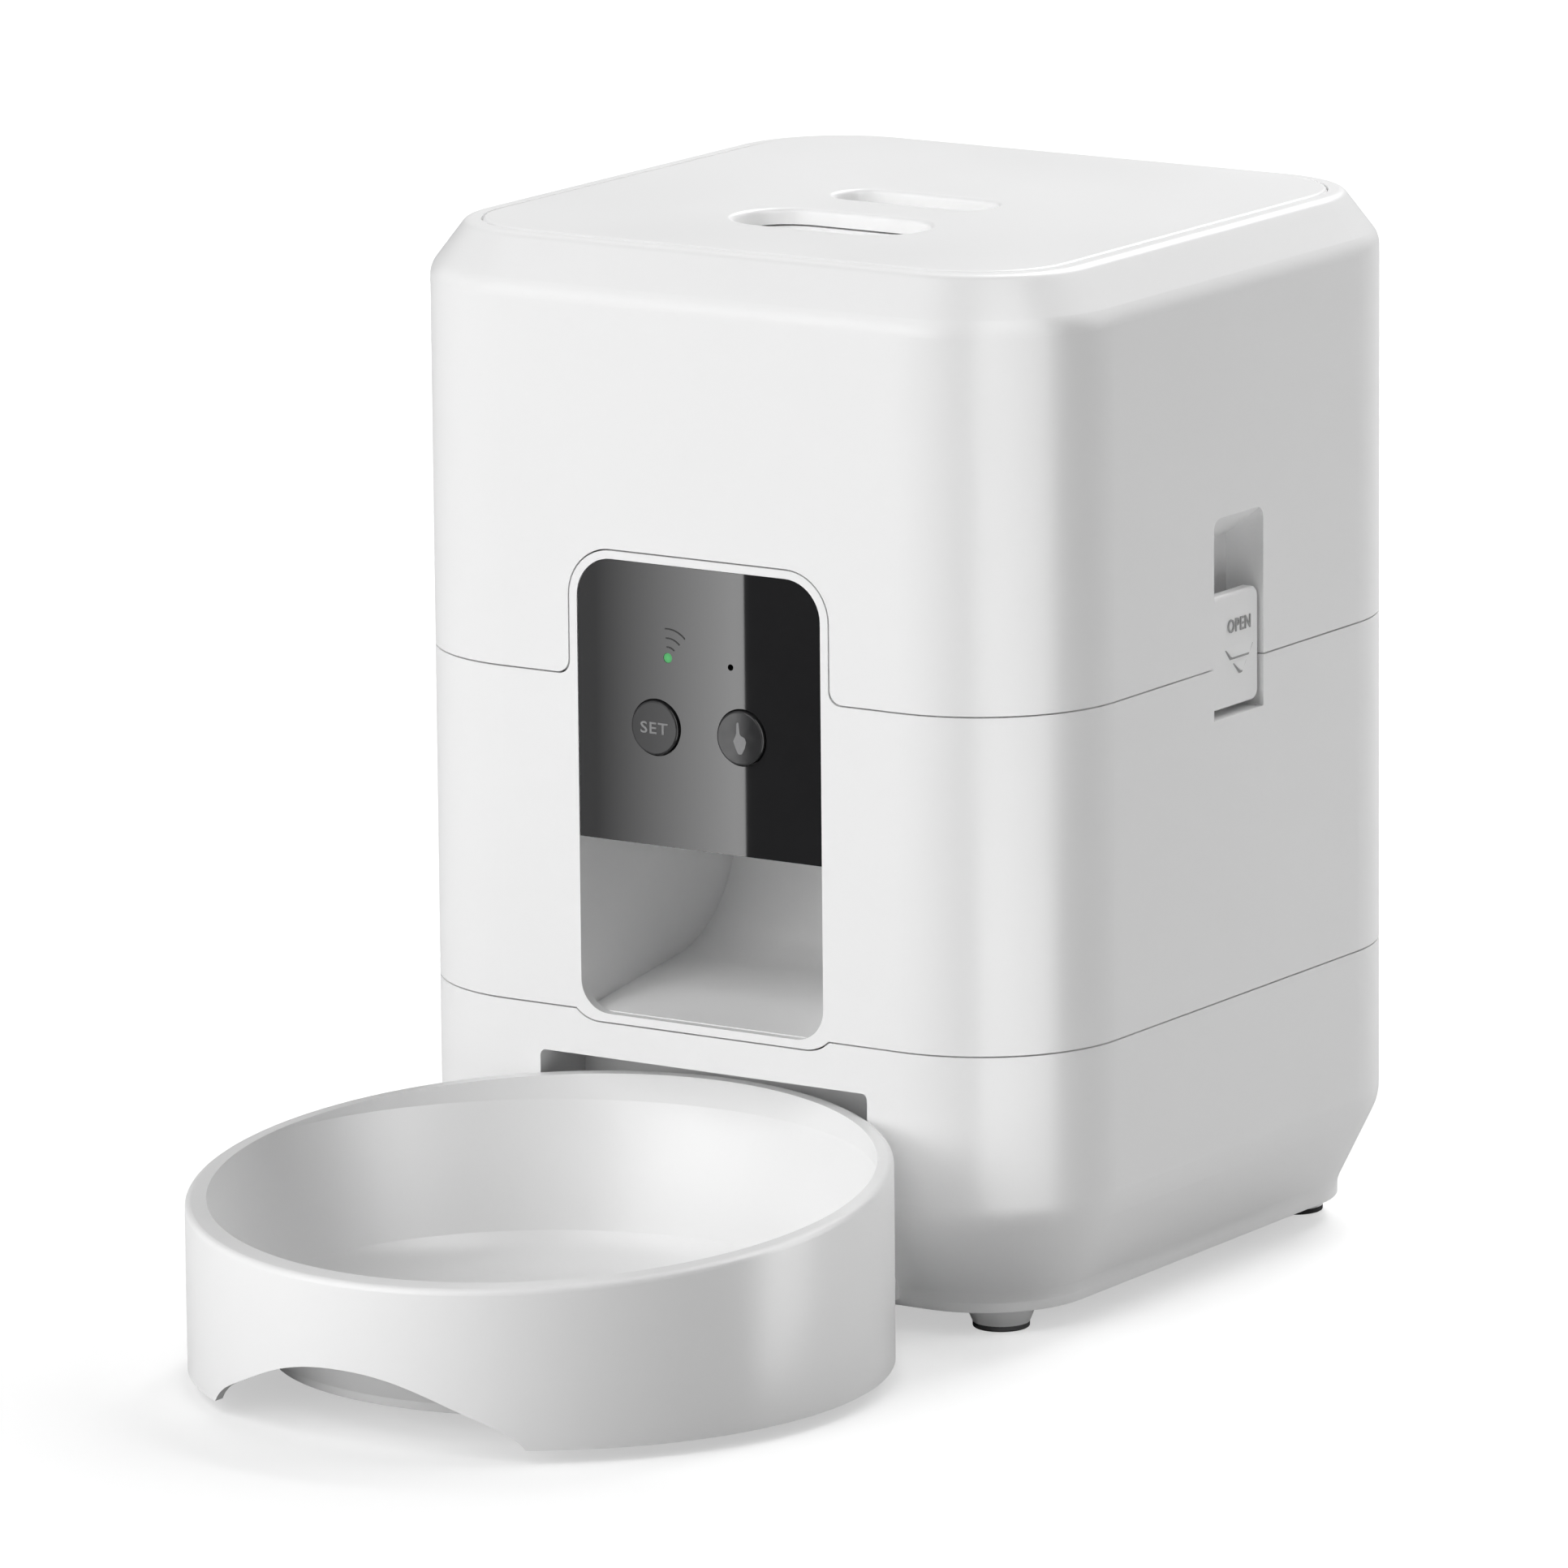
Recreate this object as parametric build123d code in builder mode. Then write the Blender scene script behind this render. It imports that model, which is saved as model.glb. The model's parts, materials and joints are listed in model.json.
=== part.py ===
from build123d import *
import math
import os

os.makedirs("parts", exist_ok=True)

# Automatic pet feeder, millimetres, +Z up. The origin is on the floor, at the middle of the
# bounding box: the square body stands at +Y and the bowl reaches out towards -Y.

# Body
body_width = 190.0
body_radius = 37.5
body_y = 77.8
half = body_width / 2
front_y = body_y - half
back_y = body_y + half
wall = 2.6
body_axis = Axis((0, body_y, 0), (0, 0, 1))

# Heights of the body, from the floor up
foot_pad_height = 1.4
base_bottom_z = 5.8
base_foot_z = 9.5
base_kink_z = 31.0
base_top_z = 71.5
mid_bottom_z = 71.9
mid_top_z = 154.8
hopper_bottom_z = 155.2
shoulder_z = 249.0
rim_top_z = 260.6
lid_top_z = 260.85

base_inset = 10.4
rim_inset = 8.8
seam_gap = 0.4
move_gap = 0.4

# Feet
foot_pitch = 69.5
foot_radius = 9.25
foot_pad_radius = 7.0

# Screws: post, pilot hole and shank radii, and where the posts stand from the body's axis
post_radius = 4.6
body_screw_x = 78.0
body_screw_y = 34.0
body_screw_radius = 1.7
body_screw_head_radius = 3.1
small_screw_radius = 1.25
small_screw_head_radius = 2.6
pilot_clearance = 0.05

# Battery bay: three D cells lying along Y
cell_pitch = 34.6
cell_radius = 16.6
cell_length = 59.0
cell_z = 27.2

# Bowl and the notch it slides into
bowl_y = -88.0
bowl_radius = 84.8
bowl_skirt_z = 3.3
bowl_floor_z = 6.5
bowl_floor_radius = 66.4
bowl_mouth_radius = 80.7
bowl_mean_rim_z = 48.5
bowl_rim_slope = 0.088
notch_half = 47.6
notch_top_z = 60.15
notch_back_y = 2.3
notch_wall = 2.2

# Front opening: control panel above, chute mouth below
opening_half = 35.2
opening_top_z = 184.6
opening_bottom_z = 71.3
panel_bottom_z = 114.9
tongue_half = 37.4
tongue_top_z = 186.6
tongue_depth = 18.0
tongue_wall = 2.2
lip_half = 39.9
lip_bottom_z = 68.8
lip_radius = 9.9

# Push buttons on the panel: (x, z) of each
button_radius = 6.75
button_gap = 0.35
set_button_place = (-12.5, 144.2)
feed_button_place = (12.3, 144.2)
led_place = (-9.0, 161.7)
led_radius = 1.2
mic_place = (9.2, 161.2)

# Latches on both sides
latch_y = body_y + 0.3
latch_width = 21.8
recess_width = 23.2
recess_bottom_z = 142.1
recess_top_z = 192.0
recess_depth = 10.6
latch_bottom_z = 144.0
latch_top_z = 172.3
latch_pivot_z = 148.0
latch_pivot_x = 90.5
latch_pin_radius = 1.0
latch_front_x = 94.0
latch_back_x = 91.0
pocket_wall = 2.0
pocket_corner = 3.0

# Dosing chamber under the hopper, around the body's own axis
chamber_radius = 42.0
chamber_wall = 2.5
chamber_floor_z = 157.5
chamber_top_z = 180.0
funnel_slope = 26.5
outlet_inner = 23.0
outlet_outer = 41.0
outlet_angle = 60.0

# Drive: a spur pair on the chamber's axis, and the motor behind it
gear_module = 0.8
gear_teeth = 42
pinion_teeth = 14
gear_bottom_z = 136.0
gear_height = 6.0
gear_plate_z = 130.0
gear_plate_height = 3.0
deck_z = 149.0
deck_height = 3.0
shaft_radius = 4.0
motor_y = body_y + gear_module * (gear_teeth + pinion_teeth) / 2
motor_shaft_radius = 1.5
running_gap = 0.05

# Lid
lid_inset = 13.0
lid_bottom_z = 256.85
grip_front = (52.8, 26.1, body_y - 34.25)
grip_back = (45.0, 16.3, body_y + 4.15)
desiccant_y = body_y + 46
desiccant_radius = 26.4


def body_outline(z, inset, facing=1):
    """The body's rounded square at height z, drawn in by inset; facing -1 looks down."""
    with BuildSketch(Plane((0, body_y, z), z_dir=(0, 0, facing))) as outline:
        RectangleRounded(body_width - 2 * inset, body_width - 2 * inset, body_radius - inset)
    return outline.sketch


def stadium(z, length, width, y):
    """A slot outline, length along X, lying at height z."""
    with BuildSketch(Plane((0, y, z))) as outline:
        SlotOverall(length, width)
    return outline.sketch


def disc_on(plane, radius):
    with BuildSketch(plane) as outline:
        Circle(radius)
    return outline.sketch


def disc(x, y, z, radius):
    """A level disc."""
    return disc_on(Plane((x, y, z)), radius)


def disc_facing(x, y, z, radius, depth_axis=-1):
    """An upright disc centred at x, z on the plane at y, facing the front."""
    return disc_on(Plane((x, y, z), x_dir=(1, 0, 0), z_dir=(0, depth_axis, 0)), radius)


def block(x, y, z, mode=Mode.ADD):
    """An axis-aligned box from its low and high values along X, Y and Z."""
    with Locations(((x[0] + x[1]) / 2, (y[0] + y[1]) / 2, (z[0] + z[1]) / 2)):
        Box(x[1] - x[0], y[1] - y[0], z[1] - z[0], mode=mode)


def both_sides(low_x, high_x, y, z, mode=Mode.ADD):
    """A block on the right of the body and its mirror image on the left."""
    block((low_x, high_x), y, z, mode)
    block((-high_x, -low_x), y, z, mode)


def taper_angle(inset, height):
    return math.degrees(math.atan2(inset, height))


def front_opening(z_low, z_high, radius_low, radius_high, half_width, y):
    """A rounded upright window, facing the front, on the plane at y."""
    with BuildSketch(Plane.XZ.offset(-y)) as outline:
        with Locations((0, (z_low + z_high) / 2)):
            Rectangle(2 * half_width, z_high - z_low)
        if radius_low > 0:
            fillet(outline.vertices().group_by(Axis.Y)[0], radius_low)
        if radius_high > 0:
            fillet(outline.vertices().group_by(Axis.Y)[-1], radius_high)
    return outline.sketch


def gear_outline(teeth, z, y, turned):
    """Spur gear outline with involute flanks, thinned for backlash; turned in degrees."""
    pressure = math.radians(20)
    pitch = gear_module * teeth / 2
    base = pitch * math.cos(pressure)
    tip = pitch + gear_module * 0.95
    root = pitch - gear_module * 1.2
    backlash = 0.09 / pitch
    half_tooth = math.pi / (2 * teeth) - backlash
    involute_at_pitch = math.tan(pressure) - pressure

    def flank(radius):
        if radius <= base:
            return half_tooth + involute_at_pitch
        angle = math.acos(base / radius)
        return half_tooth + involute_at_pitch - (math.tan(angle) - angle)

    start = max(base, root)
    radii = [start + (tip - start) * step / 4 for step in range(5)]
    if root < base:
        radii.insert(0, root)
    points = []
    for tooth in range(teeth):
        middle = 2 * math.pi * tooth / teeth + math.radians(turned)
        for radius in radii:
            angle = middle - flank(radius)
            points.append((radius * math.cos(angle), radius * math.sin(angle)))
        for radius in reversed(radii):
            angle = middle + flank(radius)
            points.append((radius * math.cos(angle), radius * math.sin(angle)))
    with BuildSketch(Plane((0, y, z))) as outline:
        with BuildLine():
            Polyline(*points, close=True)
        make_face()
    return outline.sketch


def finish(builder, name):
    builder.part.label = name
    export_step(builder.part, f"parts/{name}.step")


# ---- Base: a bucket with the bowl's notch, four feet and a battery bay ----

screw_places = [
    (side * body_screw_x, body_y + end * body_screw_y) for side in (-1, 1) for end in (-1, 1)
]
foot_places = [
    (side * foot_pitch, body_y + end * foot_pitch) for side in (-1, 1) for end in (-1, 1)
]
screw_seat_z = 14.0
bay_x = (-51.0, 51.0)
bay_y = (67.0, 133.0)
speaker_place = (0, 37.0)
inlet_z = 44.0
board_shelf_z = 40.5

with BuildPart() as base_shell:
    extrude(body_outline(base_kink_z, 0), amount=base_top_z - base_kink_z)
    slope_height = base_kink_z - base_foot_z
    extrude(
        body_outline(base_kink_z, 0, -1),
        amount=slope_height,
        taper=taper_angle(base_inset, slope_height),
    )
    extrude(body_outline(base_foot_z, base_inset, -1), amount=base_foot_z - base_bottom_z)
    rings = base_shell.edges().filter_by(lambda e: abs(e.bounding_box().size.Z) < 0.01)
    fillet(rings.filter_by_position(Axis.Z, base_kink_z - 0.1, base_kink_z + 0.1), 14)
    rings = base_shell.edges().filter_by(lambda e: abs(e.bounding_box().size.Z) < 0.01)
    fillet(rings.filter_by_position(Axis.Z, base_foot_z - 0.1, base_foot_z + 0.1), 6)
    # inside of the bucket
    floor_z = base_bottom_z + wall
    extrude(body_outline(base_kink_z, wall), amount=base_top_z - base_kink_z, mode=Mode.SUBTRACT)
    extrude(
        body_outline(base_kink_z, wall, -1),
        amount=base_kink_z - floor_z,
        taper=taper_angle(base_inset + 0.6, base_kink_z - floor_z),
        mode=Mode.SUBTRACT,
    )
    # walls of the bowl's notch, then the notch itself
    block(
        (-notch_half - notch_wall, notch_half + notch_wall),
        (front_y + 1, notch_back_y + notch_wall),
        (floor_z - 1, notch_top_z + notch_wall),
    )
    extrude(
        front_opening(-5, notch_top_z, 0, 1.6, notch_half, front_y - 5),
        amount=-(notch_back_y - front_y + 5),
        mode=Mode.SUBTRACT,
    )
    # the front edge dips to take the lip under the chute
    extrude(
        front_opening(lip_bottom_z, base_top_z + 20, lip_radius, 0, lip_half, front_y - 1),
        amount=-(wall + 2.4),
        mode=Mode.SUBTRACT,
    )
    # screw posts
    for x, y in screw_places:
        extrude(disc(x, y, base_bottom_z + 1, post_radius), amount=base_top_z - base_bottom_z - 1)
    # feet
    for x, y in foot_places:
        extrude(
            disc_on(Plane((x, y, base_bottom_z + 1), z_dir=(0, 0, -1)), foot_radius),
            amount=base_bottom_z + 1 - foot_pad_height,
            taper=taper_angle(foot_radius - foot_pad_radius, base_bottom_z + 1 - foot_pad_height),
        )
    # screw holes, counterbored from below
    for x, y in screw_places:
        extrude(disc(x, y, 0, body_screw_radius + 0.1), amount=base_top_z + 1, mode=Mode.SUBTRACT)
        extrude(disc(x, y, 0, body_screw_head_radius + 0.3), amount=screw_seat_z, mode=Mode.SUBTRACT)
    # battery bay in the floor, with a rebate for its door
    block(bay_x, bay_y, (0, floor_z + 1), mode=Mode.SUBTRACT)
    # speaker grille
    with BuildSketch(Plane((*speaker_place, 0))) as grille:
        Circle(1.2)
        with PolarLocations(6, 6):
            Circle(1.2)
    extrude(amount=floor_z + 1, mode=Mode.SUBTRACT)
    # power inlet in the rear wall, and the shelf for its board
    block((-14, 14), (160, back_y - 1.5), (38.5, board_shelf_z))
    with BuildSketch(Plane.XZ.offset(-(back_y + 1))) as inlet_hole:
        with Locations((0, inlet_z)):
            SlotOverall(9.6, 4.0)
    extrude(amount=8, mode=Mode.SUBTRACT)
finish(base_shell, "base_shell")

with BuildPart() as rubber_feet:
    for x, y in foot_places:
        extrude(disc(x, y, 0, foot_pad_radius), amount=foot_pad_height)
    fillet(rubber_feet.edges().group_by(Axis.Z)[0], 0.5)
finish(rubber_feet, "rubber_feet")

# Battery holder: an upturned box over the bay, the cells, their contacts and the door

holder_wall = 1.8
holder_half = 54.5
holder_y = (64.0, 136.0)
holder_top_z = 47.0
cell_y = 69.2

with BuildPart() as battery_holder:
    block((-holder_half, holder_half), holder_y, (floor_z, holder_top_z))
    block(
        (holder_wall - holder_half, holder_half - holder_wall),
        (holder_y[0] + holder_wall, holder_y[1] - holder_wall),
        (floor_z - 1, holder_top_z - holder_wall),
        mode=Mode.SUBTRACT,
    )
finish(battery_holder, "battery_holder")

with BuildPart() as batteries:
    for x in (-cell_pitch, 0, cell_pitch):
        extrude(disc_facing(x, cell_y, cell_z, cell_radius, 1), amount=cell_length)
        extrude(disc_facing(x, cell_y + cell_length, cell_z, 4.7, 1), amount=1.6)
finish(batteries, "batteries")

contact_plate = 0.4

with BuildPart() as battery_contacts:
    near_y = holder_y[0] + holder_wall
    far_y = holder_y[1] - holder_wall
    for x in (-cell_pitch, 0, cell_pitch):
        # the spring cup at the minus end and the button at the plus end, each on its plate
        block((x - 7, x + 7), (near_y, near_y + contact_plate), (20, 34))
        extrude(disc_facing(x, near_y + contact_plate, cell_z, 5, 1), amount=2.9)
        block((x - 7, x + 7), (far_y - contact_plate, far_y), (20, 34))
        extrude(disc_facing(x, 130, cell_z, 3, 1), amount=far_y - 130 - contact_plate / 2)
finish(battery_contacts, "battery_contacts")

door_gap = 0.3

with BuildPart() as battery_door:
    block(
        (bay_x[0] + door_gap, bay_x[1] - door_gap),
        (bay_y[0] + door_gap, bay_y[1] - door_gap),
        (base_bottom_z, floor_z - 0.2),
    )
    fillet(battery_door.edges().filter_by(Axis.Z), 1.5)
    # finger ribs
    for step in range(5):
        block((-9, 9), (78 + 3 * step, 79.2 + 3 * step), (base_bottom_z - 0.5, base_bottom_z))
finish(battery_door, "battery_door")

with BuildPart() as speaker:
    extrude(disc(*speaker_place, floor_z, 14), amount=3)
    extrude(disc(*speaker_place, floor_z + 3, 9), amount=2.4)
finish(speaker, "speaker")

head_height = 2.8

with BuildPart() as body_screws:
    for x, y in screw_places:
        extrude(disc(x, y, screw_seat_z - head_height, body_screw_head_radius), amount=head_height)
        extrude(disc(x, y, screw_seat_z, body_screw_radius), amount=72)
        # cross recess in the head
        with Locations((x, y, screw_seat_z - head_height)):
            Box(3.6, 0.8, 2.4, mode=Mode.SUBTRACT)
            Box(0.8, 3.6, 2.4, mode=Mode.SUBTRACT)
finish(body_screws, "body_screws")

socket_y = back_y - 0.6

with BuildPart() as power_socket:
    with BuildSketch(Plane.XZ.offset(-socket_y)) as socket_face:
        with Locations((0, inlet_z)):
            SlotOverall(9.2, 3.6)
    extrude(amount=7.4)
    with BuildSketch(Plane.XZ.offset(-socket_y)) as socket_mouth:
        with Locations((0, inlet_z)):
            SlotOverall(8.6, 3.0)
    extrude(amount=5.5, mode=Mode.SUBTRACT)
    # contact blade in the mouth
    block((-3.2, 3.2), (back_y - 7, back_y - 1.6), (inlet_z - 0.4, inlet_z + 0.4))
finish(power_socket, "power_socket")

with BuildPart() as power_board:
    block((-12, 12), (back_y - 22, back_y - 3.4), (board_shelf_z, board_shelf_z + 1.6))
    block((-5, 5), (back_y - 20, back_y - 14), (board_shelf_z + 1.6, 46))
finish(power_board, "power_board")

tongue_key_half = 21.0

with BuildPart() as bowl_tongue:
    block((-tongue_key_half, tongue_key_half), (-36, notch_back_y), (1.6, 5.6))
    fillet(bowl_tongue.edges().filter_by(Axis.Z).group_by(Axis.Y)[0], 9)
    block((-tongue_key_half, tongue_key_half), (notch_back_y - 3, notch_back_y), (1.6, 30))
    fillet(bowl_tongue.edges().filter_by(Axis.X).group_by(Axis.Z)[-1].sort_by(Axis.Y)[0], 1.4)
finish(bowl_tongue, "bowl_tongue")

# ---- Bowl: one double-walled moulding with a sloping rim and a finger arch ----

bowl_axis = Axis((0, bowl_y, 0), (0, 0, 1))
bowl_cup_z = 9.2
bowl_skirt_wall = 2.6
bowl_top_z = 90.0
rim_plane = Plane((0, bowl_y, bowl_mean_rim_z), x_dir=(1, 0, 0), z_dir=(0, -bowl_rim_slope, 1))

with BuildPart() as bowl:
    # skirt, with the finger arch in front and the slot for the locating tongue behind
    with BuildSketch(Plane((0, bowl_y, bowl_skirt_z))) as skirt_ring:
        Circle(bowl_radius)
        Circle(bowl_radius - bowl_skirt_wall, mode=Mode.SUBTRACT)
    extrude(amount=bowl_top_z - bowl_skirt_z)
    with BuildSketch(Plane.XZ.offset(-(bowl_y - bowl_radius - 2))) as arch:
        with BuildLine():
            Line((-48, -2), (48, -2))
            Line((48, -2), (44.5, 3.3))
            Spline(
                (44.5, 3.3), (34.0, 10.5), (19.5, 16.6), (0, 19.7), tangents=[(-0.5, 0.75), (-1, 0)]
            )
            Spline(
                (0, 19.7), (-19.5, 16.6), (-34.0, 10.5), (-44.5, 3.3), tangents=[(-1, 0), (-0.5, -0.75)]
            )
            Line((-44.5, 3.3), (-48, -2))
        make_face()
    extrude(amount=-34, mode=Mode.SUBTRACT)
    block((-tongue_key_half - 1.5, tongue_key_half + 1.5), (-20, 4), (0, 9.5), mode=Mode.SUBTRACT)
    # cup, joined to the skirt by a solid rim
    with BuildSketch(Plane.XZ.offset(-bowl_y)) as cup_profile:
        with BuildLine():
            Line((0, bowl_cup_z), (58, bowl_cup_z))
            TangentArc((58, bowl_cup_z), (72.5, 17.5), tangent=(1, 0))
            Polyline(
                (72.5, 17.5),
                (bowl_mouth_radius, bowl_mean_rim_z),
                (bowl_mouth_radius + 1.2, bowl_top_z),
                (bowl_radius - 1, bowl_top_z),
                (bowl_radius - 1, 36),
                (bowl_radius - 5, 36),
                (74.6, 17.0),
                (bowl_floor_radius, 9.0),
                (bowl_floor_radius - 1.5, bowl_floor_z),
                (0, bowl_floor_z),
                (0, bowl_cup_z),
            )
        make_face()
    revolve(axis=bowl_axis)
    # sloping rim
    split(bisect_by=rim_plane, keep=Keep.BOTTOM)
    rim_edges = bowl.edges().filter_by(lambda e: e.center().Z > 38 and e.length > 300)
    fillet(rim_edges, 1.5)
finish(bowl, "bowl")

bowl_foot_reach = 50.0

with BuildPart() as bowl_feet:
    for angle in (-30, 40, 140, 210):
        x = bowl_foot_reach * math.cos(math.radians(angle))
        y = bowl_y + bowl_foot_reach * math.sin(math.radians(angle))
        extrude(disc(x, y, 0, 5), amount=bowl_floor_z)
    fillet(bowl_feet.edges().group_by(Axis.Z)[0], 0.6)
finish(bowl_feet, "bowl_feet")

# ---- Middle housing with the panel's tongue, chute, deck and drive ----

latch_box_y = (latch_y - recess_width / 2, latch_y + recess_width / 2)
pocket_shell_y = (latch_box_y[0] - pocket_wall, latch_box_y[1] + pocket_wall)
recess_back_x = half - recess_depth
pocket_back_x = recess_back_x - 1.8
post_height = 20.0

with BuildPart() as mid_housing:
    extrude(body_outline(mid_bottom_z, 0), amount=mid_top_z - mid_bottom_z)
    # tongue above the seam, faired into it
    with BuildSketch(Plane.XZ.offset(-front_y)) as tongue:
        with Locations((0, 145 + (tongue_top_z - 145) / 2)):
            Rectangle(2 * tongue_half, tongue_top_z - 145)
        with Locations((0, (145 + mid_top_z) / 2)):
            Rectangle(2 * tongue_half + 8, mid_top_z - 145)
        fillet(tongue.vertices().group_by(Axis.Y)[-1], 12)
        roots = tongue.vertices().filter_by(
            lambda v: abs(abs(v.X) - tongue_half) < 0.01 and abs(v.Y - mid_top_z) < 0.01
        )
        fillet(roots, 3.5)
    extrude(amount=-tongue_depth)
    # hollow of the four walls, below the tongue's own back wall
    extrude(body_outline(mid_bottom_z, wall), amount=150 - mid_bottom_z, mode=Mode.SUBTRACT)
    with BuildSketch(Plane((0, body_y, 150))) as top_hollow:
        RectangleRounded(body_width - 2 * wall, body_width - 2 * wall, body_radius - wall)
        with Locations((0, -half)):
            Rectangle(2 * tongue_half, 2 * tongue_depth, mode=Mode.SUBTRACT)
    extrude(amount=mid_top_z - 150, mode=Mode.SUBTRACT)
    # locating lip that drops inside the base
    with BuildSketch(Plane((0, body_y, mid_bottom_z - 4))) as lip:
        RectangleRounded(body_width - 5.6, body_width - 5.6, body_radius - 2.8)
        RectangleRounded(body_width - 9, body_width - 9, body_radius - 4.5, mode=Mode.SUBTRACT)
    extrude(amount=8)
    with BuildSketch(Plane((0, body_y, mid_bottom_z))) as lip_root:
        RectangleRounded(body_width - 4, body_width - 4, body_radius - 2)
        RectangleRounded(body_width - 9, body_width - 9, body_radius - 4.5, mode=Mode.SUBTRACT)
    extrude(amount=4)
    # front lip under the chute mouth
    extrude(
        front_opening(
            lip_bottom_z + seam_gap,
            mid_bottom_z + 9,
            lip_radius - seam_gap,
            0,
            lip_half - seam_gap,
            front_y,
        ),
        amount=-wall,
    )
    # window for the panel and the chute mouth
    extrude(
        front_opening(opening_bottom_z, opening_top_z, 8, 10, opening_half, front_y - 1),
        amount=-(1 + tongue_depth - tongue_wall),
        mode=Mode.SUBTRACT,
    )
    # the window's depth stays open downwards behind the front wall
    block(
        (-opening_half, opening_half),
        (front_y + wall, front_y + tongue_depth - tongue_wall),
        (60, 150),
        mode=Mode.SUBTRACT,
    )
    # latch pockets, with the holes for their pins
    both_sides(pocket_back_x, half - 1, pocket_shell_y, (recess_bottom_z - 2, mid_top_z))
    both_sides(recess_back_x, half + 1, latch_box_y, (recess_bottom_z, mid_top_z + 1), Mode.SUBTRACT)
    for side in (-1, 1):
        pin_start = Plane((side * latch_pivot_x, latch_y - 15, latch_pivot_z), z_dir=(0, 1, 0))
        extrude(disc_on(pin_start, latch_pin_radius + 0.02), amount=30, mode=Mode.SUBTRACT)
    # the lip stops short of the chute
    block((-38, 38), (front_y + wall, front_y + 5), (60, 80), mode=Mode.SUBTRACT)
    # posts that take the body screws, ribbed to the walls
    for x, y in screw_places:
        extrude(disc(x, y, mid_bottom_z, post_radius), amount=post_height)
        rib_x = sorted((x, math.copysign(half - 1.5, x)))
        block(rib_x, (y - 1.2, y + 1.2), (mid_bottom_z + 4, mid_bottom_z + post_height))
        extrude(disc(x, y, mid_bottom_z - 1, body_screw_radius + 0.02), amount=17, mode=Mode.SUBTRACT)
finish(mid_housing, "mid_housing")


def chute_profile(grow):
    """Side view of the chute, in Y and Z: a shallow floor curving up to the outlet."""
    with BuildSketch(Plane.YZ.offset(-opening_half - grow)) as side:
        with BuildLine() as edge:
            floor_line = Line((front_y + wall, 71.5 - grow), (26, 77.2 - grow))
            bend = JernArc((26, 77.2 - grow), floor_line % 1, 31 + grow, 74)
            Line(bend @ 1, (58.4 + grow, 153.4))
            Line((58.4 + grow, 153.4), (35 - grow, 153.4))
            Line((35 - grow, 153.4), (4.5 - grow, panel_bottom_z + 1.2))
            Line((4.5 - grow, panel_bottom_z + 1.2), (front_y + wall, panel_bottom_z + 1.2))
            Line((front_y + wall, panel_bottom_z + 1.2), (front_y + wall, 71.5 - grow))
        make_face()
    return side.sketch


with BuildPart() as chute:
    extrude(chute_profile(1.6), amount=2 * (opening_half + 1.6))
    with BuildPart(mode=Mode.PRIVATE) as chute_space:
        extrude(chute_profile(0), amount=2 * opening_half)
    add(chute_space.part, mode=Mode.SUBTRACT)
    block(
        (-opening_half, opening_half),
        (front_y, front_y + wall + 0.5),
        (71.6, panel_bottom_z + 1.1),
        mode=Mode.SUBTRACT,
    )
    block((-opening_half, opening_half), (35.5, 58), (152, 155), mode=Mode.SUBTRACT)
finish(chute, "chute")

drive_posts = [(x, body_y + y) for x in (-24, 24) for y in (-5, 38)]
pocket_clear_y = (pocket_shell_y[0] - 0.2, pocket_shell_y[1] + 0.2)
small_hole_radius = small_screw_radius + pilot_clearance
bush_radius = 6.2

with BuildPart() as mid_deck:
    extrude(body_outline(deck_z, wall), amount=deck_height)
    with BuildSketch(Plane((0, body_y, deck_z))) as upstand:
        RectangleRounded(body_width - 6.2, body_width - 6.2, body_radius - 3.1)
        RectangleRounded(body_width - 9.4, body_width - 9.4, body_radius - 4.7, mode=Mode.SUBTRACT)
    extrude(amount=8.2)
    # clear of the tongue, the chute and the latch pockets
    block(
        (-tongue_half - 4.2, tongue_half + 4.2),
        (front_y, front_y + tongue_depth + 0.2),
        (140, 170),
        mode=Mode.SUBTRACT,
    )
    block((-opening_half - 1.7, opening_half + 1.7), (29, 60.4), (140, 170), mode=Mode.SUBTRACT)
    both_sides(pocket_back_x - 0.2, half, pocket_clear_y, (140, 170), Mode.SUBTRACT)
    extrude(disc(0, body_y, deck_z - 1, bush_radius), amount=6, mode=Mode.SUBTRACT)
    for x, y in drive_posts:
        extrude(disc(x, y, deck_z - 1, small_hole_radius), amount=6, mode=Mode.SUBTRACT)
finish(mid_deck, "mid_deck")

with BuildPart() as gearbox_plate:
    with BuildSketch(Plane((0, body_y + 17, gear_plate_z))) as plate_outline:
        RectangleRounded(60, 56, 8)
    extrude(amount=gear_plate_height)
    for x, y in drive_posts:
        extrude(disc(x, y, gear_plate_z, 4), amount=deck_z - gear_plate_z)
    plate_under_z = gear_plate_z - 1
    extrude(disc(0, body_y, plate_under_z, shaft_radius + running_gap), amount=6, mode=Mode.SUBTRACT)
    extrude(disc(0, motor_y, plate_under_z, 4.2), amount=6, mode=Mode.SUBTRACT)
    for x, y in drive_posts:
        extrude(disc(x, y, plate_under_z, small_hole_radius), amount=22, mode=Mode.SUBTRACT)
finish(gearbox_plate, "gearbox_plate")

with BuildPart() as gearbox_screws:
    for x, y in drive_posts:
        extrude(disc(x, y, gear_plate_z - 2.2, small_screw_head_radius), amount=2.2)
        extrude(disc(x, y, gear_plate_z, small_screw_radius), amount=21)
finish(gearbox_screws, "gearbox_screws")

with BuildPart() as drive_bush:
    extrude(disc(0, body_y, deck_z - 1.5, bush_radius), amount=deck_height + 1.5)
    extrude(disc(0, body_y, deck_z - 1.5, 8.0), amount=1.5)
    extrude(disc(0, body_y, deck_z - 2, shaft_radius + running_gap), amount=6, mode=Mode.SUBTRACT)
finish(drive_bush, "drive_bush")

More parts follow.
